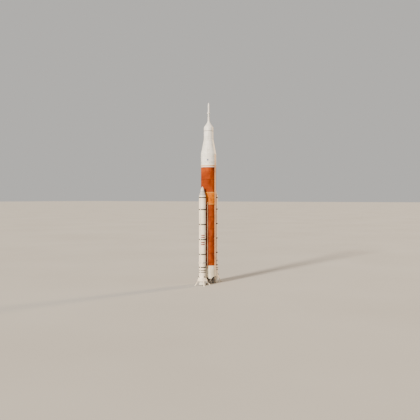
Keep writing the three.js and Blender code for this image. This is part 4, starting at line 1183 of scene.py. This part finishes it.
def main_engine(word):
    """A bell of coolant tubes with hat bands and a rolled mouth, under its round heat shield."""
    body = f"engine_{word}"
    x, y, _ = ENGINES[word]
    place = Matrix.Translation((x, y, 0))
    lip = turned(arc((MOUTH_R - LIP_R, MOUTH_Z + LIP_R), LIP_R, 0, 330, 12), BELL_STEPS, ring=True)
    bands = [hoop(*bell_point(share), 0.03, 0.03, BELL_STEPS) for share in BELL_BANDS]
    bell = moved(joined([coolant_bell(), lip, *bands]), place)
    piece(f"{body}_bell", [bell], "bare_metal", BELL_ALLOY, body=body, replaces=f"{body}_nozzle", smooth=50)
    ducts = around(bell_duct(), DUCT_COUNT, math.degrees(math.atan2(y, x)) + 180 / DUCT_COUNT)
    piece(f"{body}_ducts", [moved(ducts, place)], "bare_metal", DARK_ALLOY, body=body)
    piece(f"{body}_dome_shield", [moved(dome_shield(), place)], "blanket", BLANKET, body=body)


# Boosters: their shapes are made at the origin, with the core's side towards +X


def booster_piece(word, name, shapes, slot, *materials, **settings):
    """Finishes shapes as a piece of one booster, set in its place beside the core."""
    side = SIDES[word]
    place = Matrix.Translation((side * BOOSTER_X, 0, 0)) @ Matrix.Rotation(math.pi if side > 0 else 0, 4, "Z")
    piece(f"booster_{word}_{name}", [moved(joined(shapes), place)], slot, *materials, **settings)


# Black weather seals, by the length of case they cross, and the aft segment's stiffening rings, whose black
# is painted shade under them
SEALS = {
    "aft_segment": 9.95,
    "center_segment_1": 17.0,
    "center_segment_2": 25.15,
    "center_segment_3": 33.3,
    "forward_segment": 41.45,
    "forward_skirt": 48.0,
}
SEAL_HALF = 0.32
SEAL_PROUD = 0.015
STIFFENERS = (7.24, 8.33)
STIFFENER_HALF = 0.2
STIFFENER_PROUD = 0.08
FIELD_JOINT_H = 0.31
FIELD_JOINT_PROUD = 0.05
FIELD_JOINT_R = BOOSTER_R + FIELD_JOINT_PROUD
PIN_COUNT = 60


def segment(foot, top, seal, stiffeners, joint):
    """A length of case: the pinned joint at its foot, its black seal, and stiffening rings painted black as
    painted shade under them.
    """
    r = BOOSTER_R
    side = [(0, foot), (r, foot)]
    if joint:
        face, end = FIELD_JOINT_R, foot + FIELD_JOINT_H
        side[1:] = [(face - 0.01, foot), (face, foot + 0.01), (face, end - 0.02), (face - 0.01, end - 0.01),
                    (r, end)]
    # Seals and stiffening rings alike take the black; on the stiffening rings it is painted shade
    marks = [(z, STIFFENER_HALF, STIFFENER_PROUD) for z in stiffeners] + [(seal, SEAL_HALF, SEAL_PROUD)]
    for z, half, proud in marks:
        side += raised(r, z - half, z + half, proud, 0.01)
    bm = turned([*side, (r, top), (0, top)], BOOSTER_STEPS)
    return coloured(
        bm, lambda c, _: c.xy.length > 0.9 * r and any(abs(c.z - z) < half for z, half, _ in marks)
    )


def booster_cases(word):
    """A booster's lengths of case, one on another."""
    for part, seal in SEALS.items():
        node_name = f"booster_{word}_{part}"
        foot, top = span(node_name)
        aft = part == "aft_segment"
        if aft:
            foot = high(f"booster_{word}_aft_skirt").z
        case = segment(foot, top, seal, STIFFENERS if aft else (), "segment" in part)
        booster_piece(word, f"{part}_skin", [case], "white_paint", BOOSTER_WHITE, BLACK_SEAL_AND_SHADE,
                      replaces=node_name, smooth=25)


def joint_fittings(word):
    """The pins round each joint between lengths of case, and two boxes over it."""
    r = FIELD_JOINT_R
    pins = []
    boxes = []
    for part in list(SEALS)[1:5]:
        z = low(f"booster_{word}_{part}").z
        pins.append(around(front_strip(0.012, r - 0.01, r + 0.008, z + 0.08, z + 0.105, 0.004), PIN_COUNT))
        for x in (-0.32, 0.32):
            box = strip((x - 0.09, -r - 0.06, z + 0.34), (x + 0.09, 0.04 - BOOSTER_R, z + 0.62), 0.02)
            boxes.append(facing(box, -90))
    booster_piece(word, "joint_pins", pins, "white_paint", GREY)
    booster_piece(word, "joint_boxes", boxes, "white_paint", BOOSTER_WHITE)


CONE_H = 2.9
CAP_R = 1.0
# Bands round the nose cone, as shares of the way up to its cap: raised rings painted darker grey, as painted
# shade beside them
NOSE_BANDS = (0.28, 0.56, 0.84)
NOSE_BAND_HALF = 0.16
MOTOR_SHARE = 0.2
MOTOR_SPACING = 0.28
FORWARD_DOORS = [(-58, 1.2), (-20, 1.9), (-130, 1.9), (160, 1.2)]


def booster_nose(word):
    """The nose: a straight cone with three raised bands painted grey as painted shade, a rounded cap, and
    four small motors' mouths.
    """
    node_name = f"booster_{word}_nose_cone"
    foot, top = span(node_name)
    shoulder = foot + CONE_H
    narrowing = BOOSTER_R - CAP_R
    side = [(0, foot), (BOOSTER_R, foot), (BOOSTER_R - 0.01, foot + 0.06)]
    for share in NOSE_BANDS:
        for reach, proud in ((-1, 0), (-0.8, RING_PROUD), (0.8, RING_PROUD), (1, 0)):
            at = share + reach * NOSE_BAND_HALF / CONE_H
            side.append((BOOSTER_R - narrowing * at + proud, foot + CONE_H * at))
    side += [(CAP_R + 0.02, shoulder - 0.06), (CAP_R + 0.02, shoulder - 0.01), (CAP_R, shoulder)]
    for share in evenly(0, 1, 14)[1:]:
        side.append((CAP_R * (1 - share**1.9), shoulder + (top - shoulder) * share))
    bands = [foot + CONE_H * share for share in NOSE_BANDS]
    skin = banded(turned(side, BOOSTER_STEPS), bands, NOSE_BAND_HALF)
    booster_piece(word, "nose_cone_skin", [skin], "white_paint", NOSE_WHITE, BAND_GREY_AND_SHADE, replaces=node_name,
                  smooth=25)
    cone = ((BOOSTER_R, foot), (CAP_R, shoulder))
    length = math.dist(*cone)
    radius = BOOSTER_R - narrowing * MOTOR_SHARE
    lean = Matrix.Rotation(-math.atan2(narrowing, CONE_H), 4, "Y")
    motors = []
    seams = []
    plates = []
    for i in range(4):
        y = MOTOR_SPACING * (i - 1.5)
        spot = Matrix.Translation((math.sqrt(radius**2 - y**2), y, foot + CONE_H * MOTOR_SHARE))
        motors.append(moved(rod((-0.06, 0, 0), (0.06, 0, 0.03), 0.11), spot @ lean))
        seam = front_strip(0.035, -0.03, 0.014, 0.03 * length, 0.97 * length, 0.005)
        seams.append(leaned(seam, *cone, 0, 45 + 90 * i))
        plate = door(0, 0, (0.2 + 0.34 * (i % 2)) * length, 0.2, 0.24, 0.014)
        plates.append(leaned(plate, *cone, 0, -90 + 52 * (i - 1.5)))
    booster_piece(word, "nose_cone_motors", motors, "dark_metal", DARK_ALLOY)
    booster_piece(word, "nose_cone_seams", seams, "white_paint", SEAM)
    booster_piece(word, "nose_cone_plates", plates, "white_paint", NOSE_WHITE)


def forward_doors(word):
    """The doors round a booster's forward skirt."""
    hatches = doors(BOOSTER_R, low(f"booster_{word}_forward_skirt").z, FORWARD_DOORS, 0.18, 0.25)
    booster_piece(word, "forward_doors", hatches, "white_paint", BOOSTER_WHITE)


ATTACH_HALF = 0.3
ATTACH_R = BOOSTER_R + 0.16
STRUT_R = 0.09
CUFF_R = 0.125
# Where each strut starts on the ring and ends at the core's frame, as x and y
STRUTS = [
    ((1.4, -1.36), (2.5, -1.5)),
    ((1.4, 1.36), (2.5, 1.5)),
    ((1.8, 0.5), (2.4, -0.7)),
]


def strut(start, end):
    """A strut with a cuff at each end, cut short where it meets the core's frame."""
    a, b = Vector((*start, ATTACH_Z)), Vector((*end, ATTACH_Z))
    frame_r = high("hydrogen_tank").x + STRUT_R
    core = Vector((BOOSTER_X, 0))
    clear = [share for share in evenly(0, 1, 40) if (a.lerp(b, share).xy - core).length > frame_r]
    b = a.lerp(b, max(clear))
    return joined([rod(a, b, STRUT_R), rod(a.lerp(b, 0.72), b, CUFF_R), rod(a, a.lerp(b, 0.3), CUFF_R)])


def forward_fitting(word):
    """The block that pushes on the core."""
    reach = BOOSTER_X - high("intertank").x - 0.005
    forward = strip((1.7, -0.3, THRUST_Z - 0.4), (reach, 0.3, THRUST_Z + 0.4), 0.04)
    booster_piece(word, "forward_fitting", [forward], "white_paint", GREY)


def aft_ring(word):
    """The ring round a booster's foot with its three struts to the core, and two electronics boxes."""
    half, web = ATTACH_HALF, BOOSTER_R + 0.09
    side = [(BOOSTER_R + 0.004, -half), (ATTACH_R, -half), (ATTACH_R, 0.06 - half), (web, 0.08 - half)]
    side += [(r, -z) for r, z in reversed(side)]
    ring = turned(over(ATTACH_Z, side), BOOSTER_STEPS, ring=True)
    struts = [strut(*ends) for ends in STRUTS]
    booster_piece(word, "aft_ring", [ring, *struts], "white_paint", GREY,
                  replaces=f"booster_{word}_aft_attach")
    boxes = []
    for azimuth in (-62, -118):
        box = front_strip(0.36, BOOSTER_R + 0.01, ATTACH_R + 0.12, ATTACH_Z - 0.5, ATTACH_Z + 0.5, 0.03)
        boxes.append(facing(box, azimuth))
    booster_piece(word, "electronics_boxes", boxes, "white_paint", BOOSTER_WHITE)


def booster_tunnel(word):
    """The cable tunnel up a booster's outboard side."""
    tunnel = tray(0.17, BOOSTER_R - 0.06, 2.09, *span(f"booster_{word}_tunnel"), 0.08, 20)
    booster_piece(word, "tunnel_tray", [facing(tunnel, -90)], "white_paint", BOOSTER_WHITE,
                  replaces=f"booster_{word}_tunnel")


SKIRT_WALL = 0.12
SKIRT_TOP_R = BOOSTER_R + 0.08
GUSSET_COUNT = 24
# On the aft skirt: its doors' azimuths and shares of the way up it, and the azimuths of its exhausts
# and small motors
SKIRT_DOORS = [(-52, 0.24), (-8, 0.24), (-38, 0.72), (-128, 0.24), (172, 0.24), (-142, 0.72)]
EXHAUSTS = (-112.5, -127.5)
AFT_MOTORS = (-166, -152, -28, -14)


def booster_skirt(word):
    """The flared aft skirt: gussets, rings, doors, separation motors and the shoes it stands on."""
    node_name = f"booster_{word}_aft_skirt"
    foot, top = span(node_name)
    foot_r, top_r = high(node_name).y, SKIRT_TOP_R
    outer = [(foot_r, foot), (foot_r, foot + 0.2), (foot_r - 0.04, foot + 0.24), (top_r + 0.04, top - 0.3),
             (top_r + 0.04, top - 0.16), (top_r, top - 0.14), (top_r, top)]
    inner = [(r - SKIRT_WALL, z) for r, z in reversed(outer)]
    skin = turned([*outer, *inner], BOOSTER_STEPS, ring=True)
    booster_piece(word, "aft_skirt_skin", [skin], "white_paint", BOOSTER_WHITE, replaces=node_name, smooth=25)
    start, end = Vector((foot_r - 0.03, 0, foot + 0.22)), Vector((top_r + 0.03, 0, top - 0.3))
    cone = (start.xz, end.xz)
    middle = start.lerp(end, 0.45)
    gussets = around(rod(start, end, 0.035, BOLT_STEPS), GUSSET_COUNT)
    belt = hoop(middle.x, middle.z, 0.05, 0.045, BOOSTER_STEPS)
    shoes = around(front_strip(0.36, foot_r - 0.12, foot_r + 0.03, foot, foot + 0.5, 0.03), 4, 45)
    booster_piece(word, "aft_skirt_gussets", [gussets, belt, shoes], "white_paint", BOOSTER_WHITE)
    plates = leaned_doors(cone, SKIRT_DOORS, 0.2, 0.28, 0.016)
    booster_piece(word, "aft_skirt_doors", plates, "white_paint", BOOSTER_WHITE)
    outwards = Matrix.Rotation(math.pi / 2, 4, "X")
    lip = [(0.175, -0.08), (0.22, -0.08), (0.22, 0.05), (0.205, 0.065), (0.19, 0.065), (0.175, 0.04)]
    ports = []
    for azimuth in EXHAUSTS:
        plug = rod((0, 0, -0.08), (0, 0, 0.03), 0.18, SMALL_STEPS)
        port = joined([turned(lip, SMALL_STEPS, ring=True), plug])
        ports.append(leaned(moved(port, outwards), *cone, 0.97, azimuth))
    booster_piece(word, "aft_skirt_exhausts", ports, "dark_metal", SOOT)
    head, mouth = (0, -top_r - 0.02, top + 0.14), (0, -top_r - 0.16, top - 0.56)
    motors = [facing(rod(head, mouth, 0.14, end_radius=0.2), azimuth) for azimuth in AFT_MOTORS]
    booster_piece(word, "aft_skirt_motors", motors, "dark_metal", SOOT)


POST_HALF = 0.18
WEB_AREA = 0.2  # faces of a post's sides that are larger than this are its webs


def support_posts(word):
    """Four splayed posts under the skirt's ring: box legs with side webs, on bolted pads."""
    node_name = f"booster_{word}_support_posts"
    top = high(node_name).z
    ring = softened(square_ring(2.32, 2.7, top - 0.14, top, BOOSTER_STEPS), 0.015)
    # A leg seen from the side: its inner edge down to the pad, and its outer edge back up
    outline = [(2.34, top - 0.1), (3.72, 0.1), (4.22, 0.1), (2.68, top - 0.02), (2.34, top - 0.02)]
    leg = bmesh.new()
    face = leg.faces.new([leg.verts.new((x, -POST_HALF, z)) for x, z in outline])
    softened(pushed(leg, [face], (0, 2 * POST_HALF, 0)), 0.02)
    webs = [f for f in leg.faces if abs(f.normal.y) > 0.9 and f.calc_area() > WEB_AREA]
    framed(leg, webs, 0.06, 0.004, 0.08)
    pad = strip((3.55, -0.42, 0), (4.45, 0.42, 0.16), 0.02)
    brace = strip((3.8, -0.28, 0.12), (4.3, 0.28, 0.26), 0.02)
    posts = around(joined([leg, pad, brace]), 4, 45)
    booster_piece(word, "support_posts_frame", [ring, posts], "white_paint", BOOSTER_WHITE,
                  replaces=node_name)
    bolts = [rod((x, y, 0.14), (x, y, 0.21), 0.045, 6) for x in (3.62, 4.38) for y in (-0.34, 0.34)]
    booster_piece(word, "support_posts_bolts", [around(joined(bolts), 4, 45)], "dark_metal", DARK_ALLOY)


# The nozzle's wall outside and inside, and the rings round it, as radius and height from the ball
NOZZLE_OUTSIDE = [(0.72, -0.2), (0.76, -0.7), (0.96, -1.15), (1.18, -1.65), (1.4, -2.2), (1.6, -2.85),
                  (1.78, -3.5), (1.9, -4.05)]
NOZZLE_INSIDE = [(1.82, -4.05), (1.69, -3.4), (1.49, -2.75), (1.27, -2.1), (1.04, -1.6), (0.8, -1.15),
                 (0.6, -0.75)]
NOZZLE_RINGS = [(1.05, -1.35), (1.4, -2.2), (1.68, -3.1)]
NOZZLE_THROAT_R = 0.6


def booster_nozzle(word):
    """The booster's nozzle: a plain flared shell, ringed outside and charred inside."""
    body = f"booster_{word}_nozzle"
    z = JOINTS[f"{body}_pitch"].z
    wall = over(z, [(0, -0.2), *NOZZLE_OUTSIDE, *NOZZLE_INSIDE, (0, -0.72)])
    shell = coloured(
        turned(wall, BOOSTER_STEPS),
        lambda c, n: n.xy.dot(c.xy) < 0 or (n.z < -0.5 and c.xy.length < NOZZLE_THROAT_R),
    )
    rings = [hoop(r, level, 0.06, 0.04, BOOSTER_STEPS) for r, level in over(z, NOZZLE_RINGS)]
    booster_piece(word, "nozzle_shell", [shell, *rings], "blanket", BLANKET, SOOT, body=body, replaces=body,
                  smooth=30)


# Plain painted bars round each booster's case
BAR_HEIGHTS = (22.45, 23.55, 26.3, 27.4)
BAR_HALF = 0.3
BAR_ANGLE = math.radians(-139)
BAR_HALF_ANGLE = math.radians(32)


def booster_bars(word):
    """Four short painted bars round the case, facing outboard and forward."""
    bars = [
        curved_plate(BOOSTER_R - 0.02, BOOSTER_R + 0.006, z - BAR_HALF, z + BAR_HALF, BAR_ANGLE,
                     BAR_HALF_ANGLE)
        for z in BAR_HEIGHTS
    ]
    booster_piece(word, "bars", bars, "white_paint", MARK)


# The whole rocket

core_tanks()
intertank()
engine_section()
tail_fairing()
systems_tunnel()
forward_skirt()
for word in SIDES:
    feedline(word)
for row in PLATES:
    umbilical_plate(*row)

interstage()
stage_adapter()
spacecraft_adapter()
service_panels()
crew_module()
abort_fairing()
crew_hatch()
abort_motor()
jettison_motor()
attitude_motor()
painted("service_module", GREY)

for word in ENGINES:
    main_engine(word)
    painted(f"engine_{word}_gimbal", BELL_ALLOY)
    painted(f"engine_{word}_pumps", DARK_ALLOY)

for word in SIDES:
    booster_cases(word)
    joint_fittings(word)
    booster_nose(word)
    forward_doors(word)
    forward_fitting(word)
    aft_ring(word)
    booster_tunnel(word)
    booster_skirt(word)
    support_posts(word)
    booster_nozzle(word)
    booster_bars(word)
    painted(f"booster_{word}_nozzle_bearing", DARK_ALLOY)

# Studio: floor, lights and camera

FLOOR_HALF = 6000


def studio_paper(name):
    """Seamless pale paper: dull and even."""
    material, tree, place = new_material(name)
    clouds = node(tree, "TexNoise", "Fac", {"Vector": place, "Scale": per(90000), "Detail": 3})
    tone = node(tree, "ValToRGB", "Color", {"Fac": clouds}, [(0.3, "#b9b5af"), (0.7, "#c0bdb7")])
    return shaded(material, {"Base Color": tone, "Roughness": 0.95, "Specular IOR Level": 0.1})


def studio():
    """A wide pale floor under even, slightly warm air."""
    bm = bmesh.new()
    bmesh.ops.create_grid(bm, x_segments=1, y_segments=1, size=FLOOR_HALF)
    mesh = model_mesh("studio_floor", bm)
    mesh.materials.append(studio_paper("studio_paper"))
    floor = bpy.data.objects.new("studio_floor", mesh)
    bpy.context.scene.collection.objects.link(floor)
    world = bpy.data.worlds.new("studio_air")
    world.use_nodes = True
    tree = world.node_tree
    feed(tree, tree.nodes["Background"], {"Color": hex_colour("#e6e3de"), "Strength": 0.72})
    bpy.context.scene.world = world


def lamp(name, azimuth, elevation, strength, softness, code):
    """A far light: azimuth 0 is the front and 90 is +X; softness is its angle in degrees."""
    light = bpy.data.lights.new(name, "SUN")
    light.energy = strength
    light.angle = math.radians(softness)
    light.color = hex_colour(code)[:3]
    holder = bpy.data.objects.new(name, light)
    holder.rotation_euler = (math.radians(90 - elevation), 0, math.radians(azimuth))
    holder.location = (0, 0, 2 * TIP * SCALE)
    bpy.context.scene.collection.objects.link(holder)


# The photograph's camera: it stands off the front left, level with the middle of the rocket
VIEW_AZIMUTH = math.radians(-58)
VIEW_DISTANCE = 298
VIEW_HEIGHT = 47.7
VIEW_PITCH = math.radians(-1.28)
VIEW_YAW = math.radians(-0.15)
FOCAL_PIXELS = 536
PHOTO_WIDTH = 420


def camera():
    """The camera at the photograph's viewing angle."""
    made = bpy.data.cameras.new("camera")
    made.sensor_width = 36
    made.lens = made.sensor_width * FOCAL_PIXELS / PHOTO_WIDTH
    made.clip_end = 2000
    holder = bpy.data.objects.new("camera", made)
    x, y = math.sin(VIEW_AZIMUTH) * VIEW_DISTANCE, -math.cos(VIEW_AZIMUTH) * VIEW_DISTANCE
    holder.location = Vector((x, y, VIEW_HEIGHT)) * SCALE
    holder.rotation_euler = (math.pi / 2 + VIEW_PITCH, 0, VIEW_AZIMUTH + VIEW_YAW)
    bpy.context.scene.collection.objects.link(holder)
    bpy.context.scene.camera = holder


studio()
lamp("key_light", azimuth=-95, elevation=20, strength=8.5, softness=8, code="#fff1de")
lamp("rim_light", azimuth=70, elevation=14, strength=4, softness=8, code="#ffd7a6")
camera()
